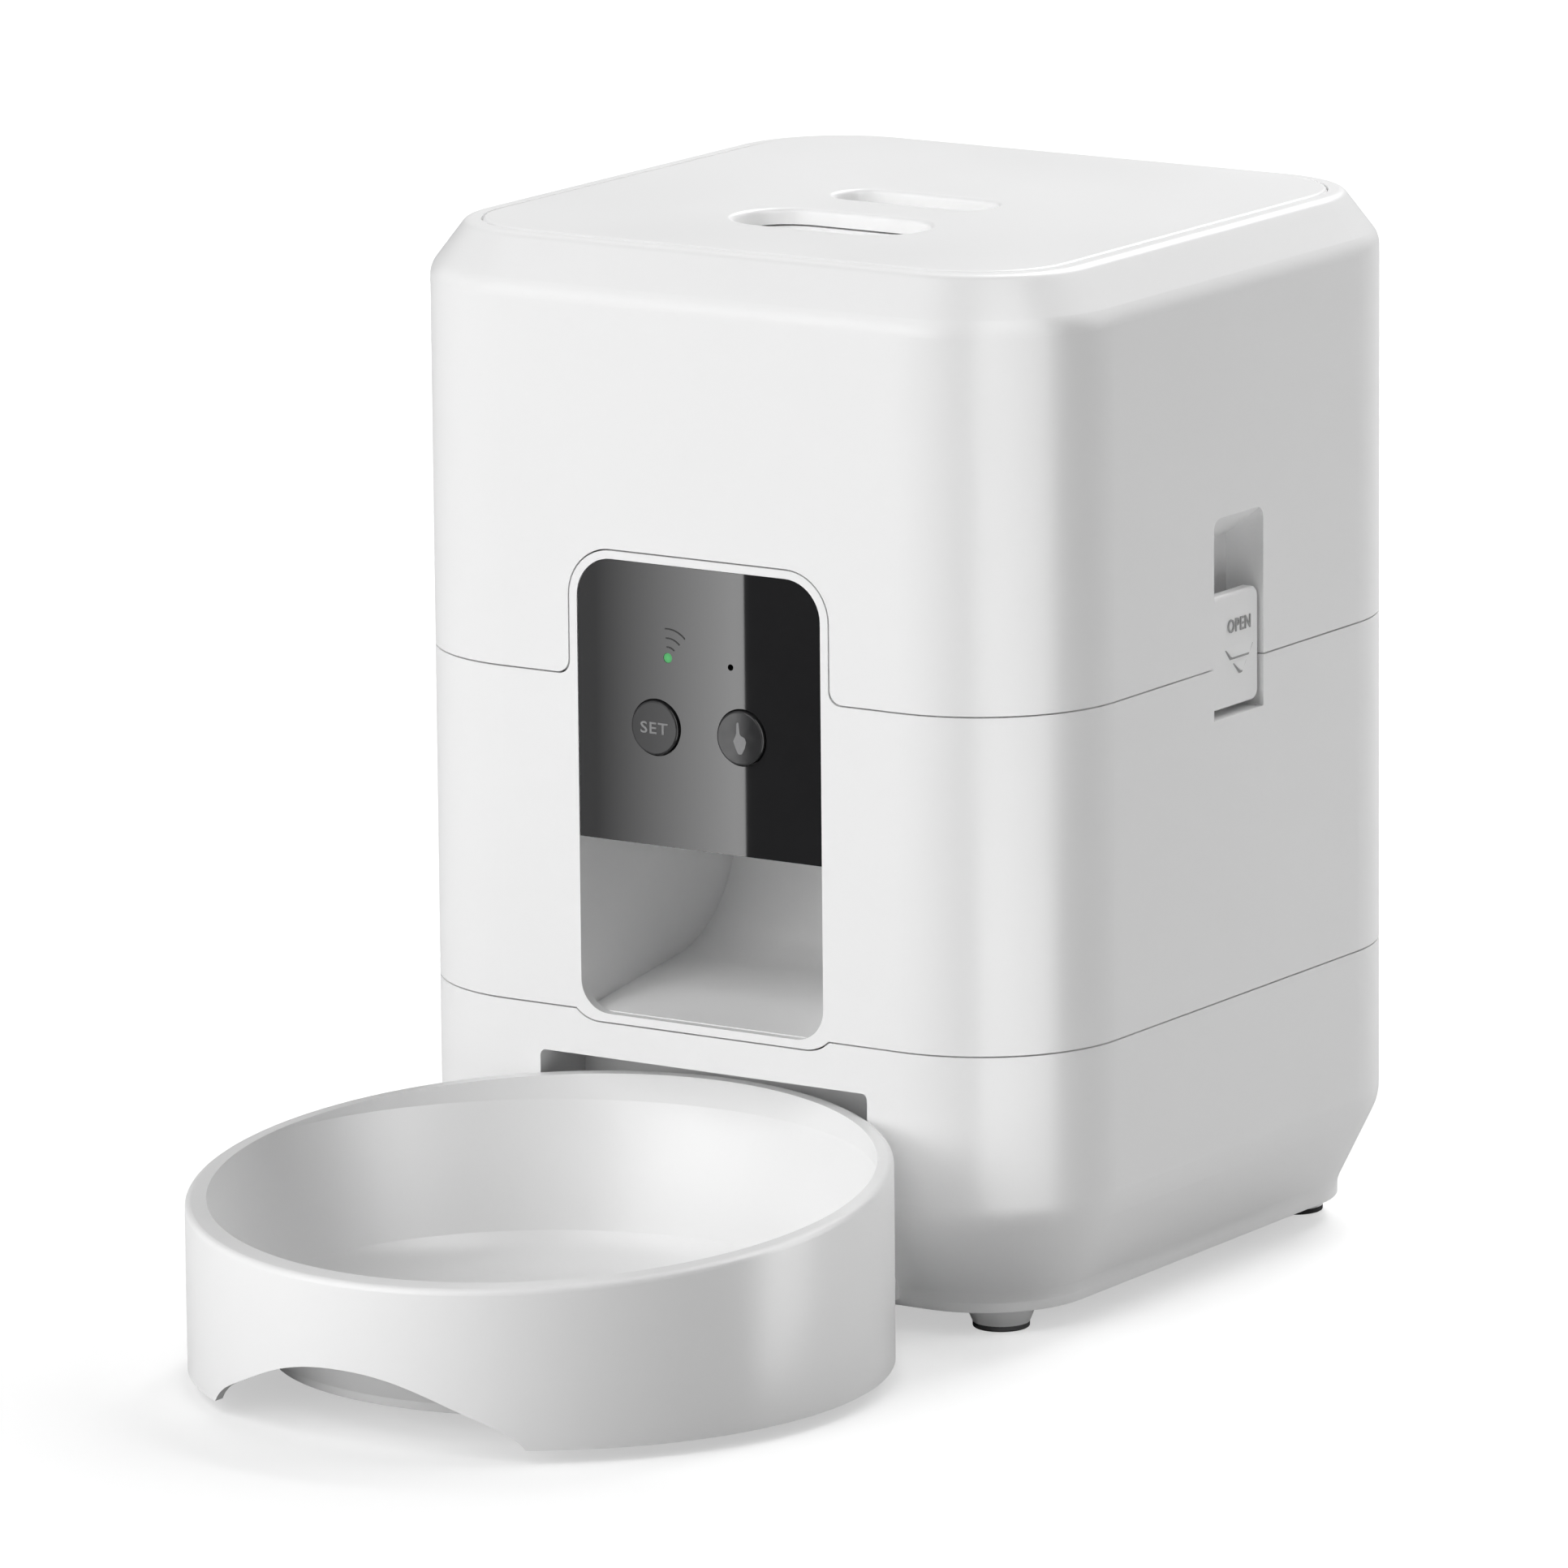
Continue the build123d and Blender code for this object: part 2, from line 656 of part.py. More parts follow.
with BuildPart() as drive_gear:
    extrude(gear_outline(gear_teeth, gear_bottom_z, body_y, 0), amount=gear_height)
    extrude(disc(0, body_y, gear_bottom_z - 2.6, 7), amount=gear_height + 5.2)
    extrude(disc(0, body_y, 126, shaft_radius), amount=42)
    for step in range(6):
        angle = math.radians(60 * step + 30)
        extrude(
            disc(11.2 * math.cos(angle), body_y + 11.2 * math.sin(angle), gear_bottom_z - 1, 2.4),
            amount=gear_height + 2,
            mode=Mode.SUBTRACT,
        )
finish(drive_gear, "drive_gear")

with BuildPart() as drive_coupler:
    with BuildSketch(Plane((0, body_y, 152.6))) as hexagon:
        RegularPolygon(5.2, 6, major_radius=False)
        Circle(shaft_radius, mode=Mode.SUBTRACT)
    extrude(amount=19)
    chamfer(drive_coupler.edges().group_by(Axis.Z)[-1].filter_by(GeomType.LINE), 0.8)
finish(drive_coupler, "drive_coupler")

with BuildPart() as motor_pinion:
    extrude(gear_outline(pinion_teeth, gear_bottom_z - 0.5, motor_y, 270), amount=gear_height + 1)
    extrude(
        disc(0, motor_y, gear_bottom_z - 1, motor_shaft_radius),
        amount=gear_height + 2,
        mode=Mode.SUBTRACT,
    )
finish(motor_pinion, "motor_pinion")

with BuildPart() as motor_shaft:
    extrude(disc(0, motor_y, 124.5, motor_shaft_radius), amount=18.5)
finish(motor_shaft, "motor_shaft")

motor_bottom_z = 92.0

with BuildPart() as motor:
    # can, front boss, rear boss and the two solder tags
    extrude(disc(0, motor_y, motor_bottom_z, 12.3), amount=gear_plate_z - motor_bottom_z)
    extrude(disc(0, motor_y, gear_plate_z, 4), amount=2.6)
    extrude(disc(0, motor_y, motor_bottom_z - 4, 4.5), amount=4)
    for x in (-6, 6):
        block((x - 0.4, x + 0.4), (motor_y - 1.5, motor_y + 1.5), (motor_bottom_z - 6, motor_bottom_z))
    extrude(disc(0, motor_y, 124, motor_shaft_radius + running_gap), amount=10, mode=Mode.SUBTRACT)
    rear_edges = motor.edges().filter_by_position(Axis.Z, motor_bottom_z - 0.1, motor_bottom_z + 0.1)
    fillet(rear_edges.filter_by(lambda e: e.length > 70), 1.5)
finish(motor, "motor")

# ---- Control panel ----

panel_face_y = front_y + 0.3
board_front_y = front_y + 8.2
board_thickness = 1.6

with BuildPart() as control_panel:
    extrude(
        front_opening(
            panel_bottom_z, opening_top_z - 0.15, 0, 9.85, opening_half - 0.15, panel_face_y
        ),
        amount=-2.4,
    )
    for (x, z), radius in (
        (set_button_place, button_radius + button_gap),
        (feed_button_place, button_radius + button_gap),
        (led_place, led_radius + 0.05),
        (mic_place, 0.8),
    ):
        extrude(disc_facing(x, front_y - 2, z, radius, 1), amount=8, mode=Mode.SUBTRACT)
    # return ledge under the panel, down to the chute
    block(
        (-opening_half + 0.15, opening_half - 0.15),
        (panel_face_y, front_y + 8),
        (panel_bottom_z, panel_bottom_z + 1.2),
    )
finish(control_panel, "control_panel")

for name, (x, z) in (("set_button", set_button_place), ("feed_button", feed_button_place)):
    with BuildPart() as button:
        # cap, flange behind the panel and stem
        extrude(disc_facing(x, front_y - 0.7, z, button_radius, 1), amount=4)
        fillet(button.edges().group_by(Axis.Y)[0], 0.5)
        extrude(disc_facing(x, front_y + 3.1, z, button_radius + 1.6, 1), amount=1.2)
        extrude(disc_facing(x, front_y + 4, z, 2, 1), amount=0.7)
    finish(button, name)

with BuildPart() as control_board:
    block((-31, 31), (board_front_y, board_front_y + board_thickness), (122, 180))
finish(control_board, "control_board")

with BuildPart() as tact_switches:
    for x, z in (set_button_place, feed_button_place):
        block((x - 3, x + 3), (board_front_y - 2, board_front_y), (z - 3, z + 3))
        # plunger
        extrude(disc_facing(x, board_front_y - 2, z, 1.6), amount=0.6)
finish(tact_switches, "tact_switches")

with BuildPart() as status_led:
    led_x, led_z = led_place
    led_front_y = front_y + 0.4
    extrude(disc_facing(led_x, led_front_y, led_z, led_radius, 1), amount=board_front_y - led_front_y)
finish(status_led, "status_led")

with BuildPart() as microphone:
    mic_x, mic_z = mic_place
    extrude(disc_facing(mic_x, board_front_y, mic_z, 3), amount=2.5)
finish(microphone, "microphone")

board_back_y = board_front_y + board_thickness

with BuildPart() as wifi_module:
    block((-9, 9), (board_back_y, board_back_y + 2.6), (150, 174))
finish(wifi_module, "wifi_module")

with BuildPart() as board_connectors:
    for x in (-20, -6, 10):
        block((x - 5, x + 5), (board_back_y, board_back_y + 4.8), (124, 130))
finish(board_connectors, "board_connectors")

# ---- Latches, one on each side ----

pin_half_length = 13.4


def pivot_disc(side, back, radius):
    """A disc round the latch's pivot line, standing back from the latch's middle along Y."""
    start = Plane((side * latch_pivot_x, latch_y - back, latch_pivot_z), z_dir=(0, 1, 0))
    return disc_on(start, radius)


for side, name in ((-1, "latch_left"), (1, "latch_right")):
    with BuildPart() as latch:
        with BuildSketch(Plane.YZ.offset(side * latch_back_x)) as tab:
            with Locations((latch_y, (latch_bottom_z + latch_top_z) / 2)):
                RectangleRounded(latch_width, latch_top_z - latch_bottom_z, 2.6)
        extrude(amount=side * (latch_front_x - latch_back_x))
        outer = latch.edges().group_by(Axis.X)[-1 if side > 0 else 0]
        fillet(outer, 0.9)
        # pivot barrel across the foot of the tab
        extrude(pivot_disc(side, latch_width / 2, 2.4), amount=latch_width)
        # short hook nose behind the tab
        nose_x = sorted((side * (latch_back_x + 0.4), side * (latch_back_x - 3.4)))
        block(nose_x, (latch_y - 4, latch_y + 4), (158.5, 161.5))
        extrude(
            pivot_disc(side, latch_width / 2 + 1, latch_pin_radius + running_gap),
            amount=latch_width + 2,
            mode=Mode.SUBTRACT,
        )
    finish(latch, name)

with BuildPart() as latch_pins:
    for side in (-1, 1):
        extrude(pivot_disc(side, pin_half_length, latch_pin_radius), amount=2 * pin_half_length)
finish(latch_pins, "latch_pins")

# ---- Hopper: outer housing, funnel with dosing chamber, bottom plate ----


def finger_pocket(side):
    """The space above a latch: its ceiling slopes and its upper corners are round from outside."""
    with BuildPart(mode=Mode.PRIVATE) as pocket:
        with BuildSketch(Plane.XZ.offset(-latch_box_y[0])):
            with BuildLine():
                Polyline(
                    (side * (half + 1), hopper_bottom_z - 1),
                    (side * recess_back_x, hopper_bottom_z - 1),
                    (side * recess_back_x, recess_top_z - 8),
                    (side * half, recess_top_z),
                    (side * (half + 1), recess_top_z + 0.7),
                    close=True,
                )
            make_face()
        extrude(amount=-recess_width)
        # side view of the pocket, its upper corners rounded
        with BuildSketch(Plane.YZ.offset(side * (recess_back_x - 1))) as side_view:
            with Locations((latch_y, (hopper_bottom_z - 1 + recess_top_z) / 2)):
                Rectangle(recess_width, recess_top_z - hopper_bottom_z + 1)
            fillet(side_view.vertices().group_by(Axis.Y)[-1], pocket_corner)
        extrude(amount=side * (recess_depth + 4), mode=Mode.INTERSECT)
    return pocket.part


with BuildPart() as hopper_housing:
    extrude(body_outline(hopper_bottom_z, 0), amount=shoulder_z - hopper_bottom_z)
    extrude(
        body_outline(shoulder_z, 0),
        amount=rim_top_z - shoulder_z,
        taper=taper_angle(rim_inset, rim_top_z - shoulder_z),
    )
    rings = hopper_housing.edges().filter_by(lambda e: abs(e.bounding_box().size.Z) < 0.01)
    fillet(rings.filter_by_position(Axis.Z, shoulder_z - 0.1, shoulder_z + 0.1), 7)
    fillet(hopper_housing.edges().group_by(Axis.Z)[-1], 2.6)
    # inside: straight walls, then a shoulder in to the lid's ledge
    extrude(body_outline(hopper_bottom_z, wall), amount=246 - hopper_bottom_z, mode=Mode.SUBTRACT)
    extrude(body_outline(246, wall), amount=8, taper=taper_angle(16 - wall, 8), mode=Mode.SUBTRACT)
    extrude(body_outline(250, 16), amount=20, mode=Mode.SUBTRACT)
    extrude(body_outline(256.45, lid_inset - move_gap), amount=20, mode=Mode.SUBTRACT)
    # cut-out that drops over the panel's tongue
    with BuildSketch(Plane.XZ.offset(-front_y + 1)) as tongue_cut:
        with Locations((0, 150 + (tongue_top_z + move_gap - 150) / 2)):
            Rectangle(2 * (tongue_half + move_gap), tongue_top_z + move_gap - 150)
        with Locations((0, 150 + (hopper_bottom_z - 150) / 2)):
            Rectangle(2 * tongue_half + 20, hopper_bottom_z - 150)
        fillet(tongue_cut.vertices().group_by(Axis.Y)[-1], 12.4)
        roots = tongue_cut.vertices().filter_by(
            lambda v: abs(abs(v.X) - tongue_half - move_gap) < 0.01 and abs(v.Y - hopper_bottom_z) < 0.01
        )
        fillet(roots, 3.5)
    extrude(amount=-6, mode=Mode.SUBTRACT)
    # finger pockets above the latches
    both_sides(pocket_back_x, half - 1, pocket_shell_y, (hopper_bottom_z, recess_top_z + 2))
    for side in (-1, 1):
        add(finger_pocket(side), mode=Mode.SUBTRACT)
finish(hopper_housing, "hopper_housing")


def ring_sector(z, inner_radius, outer_radius, angle):
    """Part of a level ring round the body's axis, centred on the front."""
    reach = 2 * outer_radius
    swing = math.radians(angle / 2)
    with BuildSketch(Plane((0, body_y, z))) as sector:
        Circle(outer_radius)
        Circle(inner_radius, mode=Mode.SUBTRACT)
        with BuildLine():
            Polyline(
                (0, 0),
                (-reach * math.sin(swing), -reach * math.cos(swing)),
                (reach * math.sin(swing), -reach * math.cos(swing)),
                close=True,
            )
        make_face(mode=Mode.INTERSECT)
    return sector.sketch


funnel_tan = math.tan(math.radians(funnel_slope))
funnel_far = 125.0
funnel_far_z = chamber_top_z + (funnel_far - chamber_radius) * funnel_tan
hopper_screw_places = [(x, body_y + y) for x in (-58, 58) for y in (-58, 58)]

with BuildPart() as hopper_funnel:
    # conical band, cut to the inside of the housing
    with BuildSketch(Plane.XZ.offset(-body_y)) as band:
        with BuildLine():
            Polyline(
                (chamber_radius, chamber_floor_z),
                (chamber_radius + chamber_wall, chamber_floor_z),
                (chamber_radius + chamber_wall, chamber_top_z - 2.4),
                (funnel_far, funnel_far_z - 2.6),
                (funnel_far, funnel_far_z),
                (chamber_radius, chamber_top_z),
                close=True,
            )
        make_face()
    revolve(axis=body_axis)
    # bosses for the bottom plate's screws
    for x, y in hopper_screw_places:
        extrude(disc(x, y, 157.6, 4.5), amount=50)
    with BuildSketch(Plane.XZ.offset(-body_y)) as food_space:
        with BuildLine():
            Polyline(
                (0, chamber_top_z),
                (chamber_radius, chamber_top_z),
                (funnel_far, funnel_far_z),
                (funnel_far, 300),
                (0, 300),
                close=True,
            )
        make_face()
    revolve(axis=body_axis, mode=Mode.SUBTRACT)
    extrude(body_outline(100, wall), amount=200, mode=Mode.INTERSECT)
    # chamber floor with the outlet and the drive hole
    extrude(disc(0, body_y, chamber_floor_z, chamber_radius + 0.5), amount=2.5)
    extrude(
        ring_sector(chamber_floor_z - 1, outlet_inner, outlet_outer, outlet_angle),
        amount=4,
        mode=Mode.SUBTRACT,
    )
    extrude(disc(0, body_y, chamber_floor_z - 1, 8), amount=5, mode=Mode.SUBTRACT)
    for x, y in hopper_screw_places:
        extrude(disc(x, y, 157, small_hole_radius), amount=14, mode=Mode.SUBTRACT)
finish(hopper_funnel, "hopper_funnel")

with BuildPart() as portion_guard:
    extrude(ring_sector(178.6, 12.5, chamber_radius, 92), amount=1.8)
finish(portion_guard, "portion_guard")

plate_z = hopper_bottom_z + 0.4

with BuildPart() as hopper_base_plate:
    extrude(body_outline(plate_z, 5.2), amount=1.8)
    block(
        (-tongue_half - 5, tongue_half + 5),
        (front_y, front_y + tongue_depth + 1),
        (150, 170),
        mode=Mode.SUBTRACT,
    )
    both_sides(pocket_back_x - 0.2, half, pocket_clear_y, (140, 170), Mode.SUBTRACT)
    # openings under the outlet and round the drive
    block((-26, 26), (34, 60), (150, 170), mode=Mode.SUBTRACT)
    extrude(disc(0, body_y, 150, 8), amount=20, mode=Mode.SUBTRACT)
    for x, y in hopper_screw_places:
        extrude(disc(x, y, 150, small_hole_radius), amount=20, mode=Mode.SUBTRACT)
finish(hopper_base_plate, "hopper_base_plate")

with BuildPart() as hopper_screws:
    for x, y in hopper_screw_places:
        extrude(disc(x, y, plate_z - 2, small_screw_head_radius), amount=2)
        extrude(disc(x, y, plate_z, small_screw_radius), amount=13)
finish(hopper_screws, "hopper_screws")

# ---- Rotor: a hub with six soft blades ----

blade_bottom_z = chamber_floor_z + 3.1

with BuildPart() as rotor_hub:
    extrude(disc(0, body_y, blade_bottom_z, 10), amount=21.4)
    with BuildSketch(Plane((0, body_y, 182))) as cap:
        Circle(10)
    extrude(amount=5, taper=40)
    with BuildSketch(Plane((0, body_y, blade_bottom_z - 1))) as socket:
        RegularPolygon(5.6, 6, major_radius=False)
    extrude(amount=14.4, mode=Mode.SUBTRACT)
finish(rotor_hub, "rotor_hub")

with BuildPart() as rotor_blades:
    for step in range(6):
        with BuildSketch(Plane((0, body_y, blade_bottom_z)).rotated((0, 0, 60 * step))) as blade:
            with Locations((25.6, 0)):
                RectangleRounded(31.2, 2.4, 1.1)
        extrude(amount=17)
finish(rotor_blades, "rotor_blades")

# ---- Lid with its grip, release slide, seal and desiccant box ----

with BuildPart() as lid:
    extrude(body_outline(lid_bottom_z, lid_inset), amount=lid_top_z - lid_bottom_z)
    fillet(lid.edges().group_by(Axis.Z)[-1], 1.0)
    # skirt that carries the seal
    with BuildSketch(Plane((0, body_y, 250.5))) as skirt:
        RectangleRounded(body_width - 34.6, body_width - 34.6, body_radius - 17.3)
        RectangleRounded(body_width - 38.6, body_width - 38.6, body_radius - 19.3, mode=Mode.SUBTRACT)
    extrude(amount=lid_bottom_z - 250.5)
    # pocket behind the grip bar
    extrude(stadium(244, grip_back[0] + 4, grip_back[1] + 4, grip_back[2]), amount=lid_bottom_z - 244)
    extrude(stadium(246, *grip_back), amount=20, mode=Mode.SUBTRACT)
    # opening over the release slide
    extrude(stadium(250, *grip_front), amount=20, mode=Mode.SUBTRACT)
    slot_edges = lid.edges().group_by(Axis.Z)[-1].filter_by(
        lambda e: abs(e.center().X) < 27 and -50 < e.center().Y - body_y < 15
    )
    fillet(slot_edges, 1.2)
    # ring that the desiccant box twists into
    extrude(disc(0, desiccant_y, 251, desiccant_radius + 2.6), amount=lid_bottom_z - 251)
    extrude(
        disc(0, desiccant_y, 240, desiccant_radius + 0.6), amount=lid_bottom_z - 240, mode=Mode.SUBTRACT
    )
finish(lid, "lid")

cover_x = (-36.0, 36.0)
cover_y = (body_y - 54, body_y - 7)
cover_wall = 1.6

with BuildPart() as grip_cover:
    block(cover_x, cover_y, (240, lid_bottom_z))
    fillet(grip_cover.edges().filter_by(Axis.Z), 8)
    block(
        (cover_x[0] + cover_wall, cover_x[1] - cover_wall),
        (cover_y[0] + cover_wall, cover_y[1] - cover_wall),
        (240 + cover_wall, lid_bottom_z + 1),
        mode=Mode.SUBTRACT,
    )
finish(grip_cover, "grip_cover")

release_bottom_z = 242.2

with BuildPart() as lid_release:
    release_top_z = lid_bottom_z - move_gap
    grip_length, grip_width, grip_y = grip_front
    cup_outline = stadium(release_bottom_z, grip_length + 4, grip_width + 4, grip_y)
    extrude(cup_outline, amount=release_top_z - release_bottom_z)
    cup_inside = stadium(release_bottom_z + 1.6, grip_length - 0.6, grip_width - 0.6, grip_y)
    extrude(cup_inside, amount=20, mode=Mode.SUBTRACT)
    fillet(lid_release.edges().filter_by_position(Axis.Z, 243.7, 243.9), 4)
finish(lid_release, "lid_release")

with BuildPart() as lid_seal:
    with BuildSketch(Plane((0, body_y, 251.4))) as seal:
        RectangleRounded(body_width - 32.8, body_width - 32.8, body_radius - 16.4)
        RectangleRounded(body_width - 34.6, body_width - 34.6, body_radius - 17.3, mode=Mode.SUBTRACT)
    extrude(amount=4)
finish(lid_seal, "lid_seal")

box_bottom_z = 244.0

with BuildPart() as desiccant_box:
    box_outline = disc(0, desiccant_y, box_bottom_z, desiccant_radius)
    extrude(box_outline, amount=lid_bottom_z - move_gap - box_bottom_z)
    fillet(desiccant_box.edges().group_by(Axis.Z)[0], 2)
    extrude(disc(0, desiccant_y, box_bottom_z + 1.6, desiccant_radius - 1.6), amount=20, mode=Mode.SUBTRACT)
    # two rings of vent holes
    with BuildSketch(Plane((0, desiccant_y, box_bottom_z - 1))) as vents:
        for ring_radius, count in ((8, 6), (16, 12)):
            with PolarLocations(ring_radius, count):
                Circle(1.6)
    extrude(amount=4, mode=Mode.SUBTRACT)
finish(desiccant_box, "desiccant_box")

with BuildPart() as desiccant_sachet:
    extrude(disc(0, desiccant_y, box_bottom_z + 1.6, desiccant_radius - 2), amount=7)
    fillet(desiccant_sachet.edges().group_by(Axis.Z)[-1], 3)
finish(desiccant_sachet, "desiccant_sachet")
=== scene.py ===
import json
import math

import bpy
from mathutils import Matrix, Vector


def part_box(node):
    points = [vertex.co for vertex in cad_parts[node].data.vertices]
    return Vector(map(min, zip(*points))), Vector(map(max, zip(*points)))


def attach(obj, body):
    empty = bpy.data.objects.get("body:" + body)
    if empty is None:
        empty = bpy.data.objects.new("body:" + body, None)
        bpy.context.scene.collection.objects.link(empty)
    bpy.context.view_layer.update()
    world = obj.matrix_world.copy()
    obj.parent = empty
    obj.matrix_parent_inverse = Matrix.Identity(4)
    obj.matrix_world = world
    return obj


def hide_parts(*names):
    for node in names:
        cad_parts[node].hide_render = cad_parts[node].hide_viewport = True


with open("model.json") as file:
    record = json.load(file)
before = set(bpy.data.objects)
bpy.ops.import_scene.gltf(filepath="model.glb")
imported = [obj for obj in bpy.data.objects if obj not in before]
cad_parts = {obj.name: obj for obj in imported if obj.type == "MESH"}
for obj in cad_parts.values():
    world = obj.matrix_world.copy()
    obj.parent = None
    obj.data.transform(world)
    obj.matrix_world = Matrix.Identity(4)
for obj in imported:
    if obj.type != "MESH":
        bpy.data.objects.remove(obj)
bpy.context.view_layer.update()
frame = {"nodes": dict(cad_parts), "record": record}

mm = 0.001
nodes = frame["nodes"]
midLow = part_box("mid_housing")[0]
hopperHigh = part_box("hopper_housing")[1]
bodyCentre = (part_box("hopper_housing")[0] + hopperHigh) / 2
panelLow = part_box("control_panel")[0]
ledLow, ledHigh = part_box("status_led")
print("frame loaded,", len(nodes), "nodes")

cameraView = {
    "azimuth": 33.21,       # degrees to the right of straight on
    "elevation": 11.874,
    "roll": -0.514,
    "distance": 3180.07 * mm,
    "lens": 293.82,         # on a 36 mm wide sensor
    "aimHeight": 112.0 * mm,
    "aimRight": -31.525 * mm,
    "aimUp": 2.607 * mm,
}


def directionTo(azimuth, elevation):
    # unit vector from the object out towards a place round it
    a, e = math.radians(azimuth), math.radians(elevation)
    return Vector((math.sin(a) * math.cos(e), -math.cos(a) * math.cos(e), math.sin(e)))


def makeCamera(view):
    back = directionTo(view["azimuth"], view["elevation"])
    right = (-back).cross(Vector((0, 0, 1))).normalized()
    up = right.cross(-back)
    aim = Vector((0, bodyCentre.y, view["aimHeight"]))
    aim += right * view["aimRight"] + up * view["aimUp"]
    roll = math.radians(view["roll"])
    rolledRight = right * math.cos(roll) + up * math.sin(roll)
    rolledUp = up * math.cos(roll) - right * math.sin(roll)
    camera = bpy.data.objects.new("camera", bpy.data.cameras.new("camera"))
    camera.data.lens = view["lens"]
    camera.data.sensor_width = 36
    camera.data.clip_end = 20
    place = Matrix((rolledRight, rolledUp, back)).transposed().to_4x4()
    place.translation = aim + back * view["distance"]
    camera.matrix_world = place
    bpy.context.collection.objects.link(camera)
    return camera


camera = makeCamera(cameraView)
bpy.context.scene.camera = camera
print("camera placed")


def linear(hexText):
    # an sRGB hex value as the linear colour that the shaders work in
    channels = [int(hexText[i:i + 2], 16) / 255 for i in (1, 3, 5)]
    made = [c / 12.92 if c <= 0.04045 else ((c + 0.055) / 1.055) ** 2.4 for c in channels]
    return (*made, 1.0)


def addNode(tree, kind, inputs=None, **settings):
    # one node with its settings; an input is a value or another node's output
    node = tree.nodes.new(kind)
    for name, value in settings.items():
        setattr(node, name, value)
    for name, value in (inputs or {}).items():
        if isinstance(value, bpy.types.NodeSocket):
            tree.links.new(value, node.inputs[name])
        else:
            node.inputs[name].default_value = value
    return node


def newMaterial(name):
    material = bpy.data.materials.new(name)
    material.use_nodes = True
    tree = material.node_tree
    shader = tree.nodes["Principled BSDF"]
    place = addNode(tree, "ShaderNodeTexCoord").outputs["Object"]
    return material, tree, shader, place


def perMetre(sizeMm):
    # noise scale whose features are about sizeMm across
    return 1000.0 / sizeMm


def mouldedFinish(name, look):
    # moulded plastic or rubber: faint clouding of the colour, uneven gloss, the tool's grain as bump
    material, tree, shader, place = newMaterial(name)
    cloud = addNode(tree, "ShaderNodeTexNoise", {
        "Vector": place, "Scale": perMetre(look["cloudMm"]), "Detail": 3.0})
    tint = addNode(tree, "ShaderNodeMix", {"Factor": cloud.outputs["Fac"]}, data_type="RGBA")
    tint.inputs["A"].default_value = linear(look["colour"])
    tint.inputs["B"].default_value = linear(look["shade"])
    grain = addNode(tree, "ShaderNodeTexNoise", {
        "Vector": place, "Scale": perMetre(look["grainMm"]), "Detail": 2.0})
    gloss = addNode(tree, "ShaderNodeMapRange", {
        "Value": cloud.outputs["Fac"], "From Min": 0.3, "From Max": 0.7,
        "To Min": look["gloss"][0], "To Max": look["gloss"][1]})
    relief = addNode(tree, "ShaderNodeBump", {
        "Height": grain.outputs["Fac"], "Strength": look["bump"],
        "Distance": look["grainMm"] * mm * 0.1})   # the grain is a tenth as deep as it is wide
    tree.links.new(tint.outputs["Result"], shader.inputs["Base Color"])
    tree.links.new(gloss.outputs["Result"], shader.inputs["Roughness"])
    tree.links.new(relief.outputs["Normal"], shader.inputs["Normal"])
    shader.inputs["IOR"].default_value = look["ior"]
    shader.inputs["Specular IOR Level"].default_value = look.get("specular", 0.5)
    return material


# ABS, injection moulded in a fine satin tool; white pigment keeps it opaque. The real grain is
# about 0.05 mm and too fine to show, so it is drawn at 0.5 mm.
satinWhiteAbs = mouldedFinish("satinWhiteAbs", {
    "colour": "#F6F6F6", "shade": "#F3F3F3", "cloudMm": 60, "grainMm": 0.5,
    "gloss": (0.33, 0.38), "bump": 0.05, "ior": 1.53})

# The same ABS from a plain, unpolished tool, for parts that sit inside
plainWhiteAbs = mouldedFinish("plainWhiteAbs", {
    "colour": "#ECECE9", "shade": "#E2E2DE", "cloudMm": 25, "grainMm": 0.7,
    "gloss": (0.45, 0.58), "bump": 0.15, "ior": 1.53})

# TPE feet: soft black rubber, dull, with a slightly open skin
footRubber = mouldedFinish("footRubber", {
    "colour": "#1A1A1B", "shade": "#242425", "cloudMm": 4, "grainMm": 0.4,
    "gloss": (0.62, 0.8), "bump": 0.35, "ior": 1.5})

# Grey rubber pads under the bowl
padRubber = mouldedFinish("padRubber", {
    "colour": "#8E9092", "shade": "#808284", "cloudMm": 4, "grainMm": 0.4,
    "gloss": (0.6, 0.75), "bump": 0.3, "ior": 1.5})

# Key caps: dark grey ABS from a polished tool, less glossy than the window round them
keyCapAbs = mouldedFinish("keyCapAbs", {
    "colour": "#323233", "shade": "#2D2D2E", "cloudMm": 3, "grainMm": 0.3,
    "gloss": (0.03, 0.06), "bump": 0.02, "ior": 1.53, "specular": 0.21})

# Black nylon for connectors, switches and the speaker frame
blackNylon = mouldedFinish("blackNylon", {
    "colour": "#1D1D1E", "shade": "#29292A", "cloudMm": 2, "grainMm": 0.3,
    "gloss": (0.4, 0.55), "bump": 0.2, "ior": 1.53})

# Acetal gears: milky white, slippery and slightly shiny
milkyAcetal = mouldedFinish("milkyAcetal", {
    "colour": "#EFEDE4", "shade": "#E4E1D6", "cloudMm": 6, "grainMm": 0.5,
    "gloss": (0.28, 0.36), "bump": 0.08, "ior": 1.48})


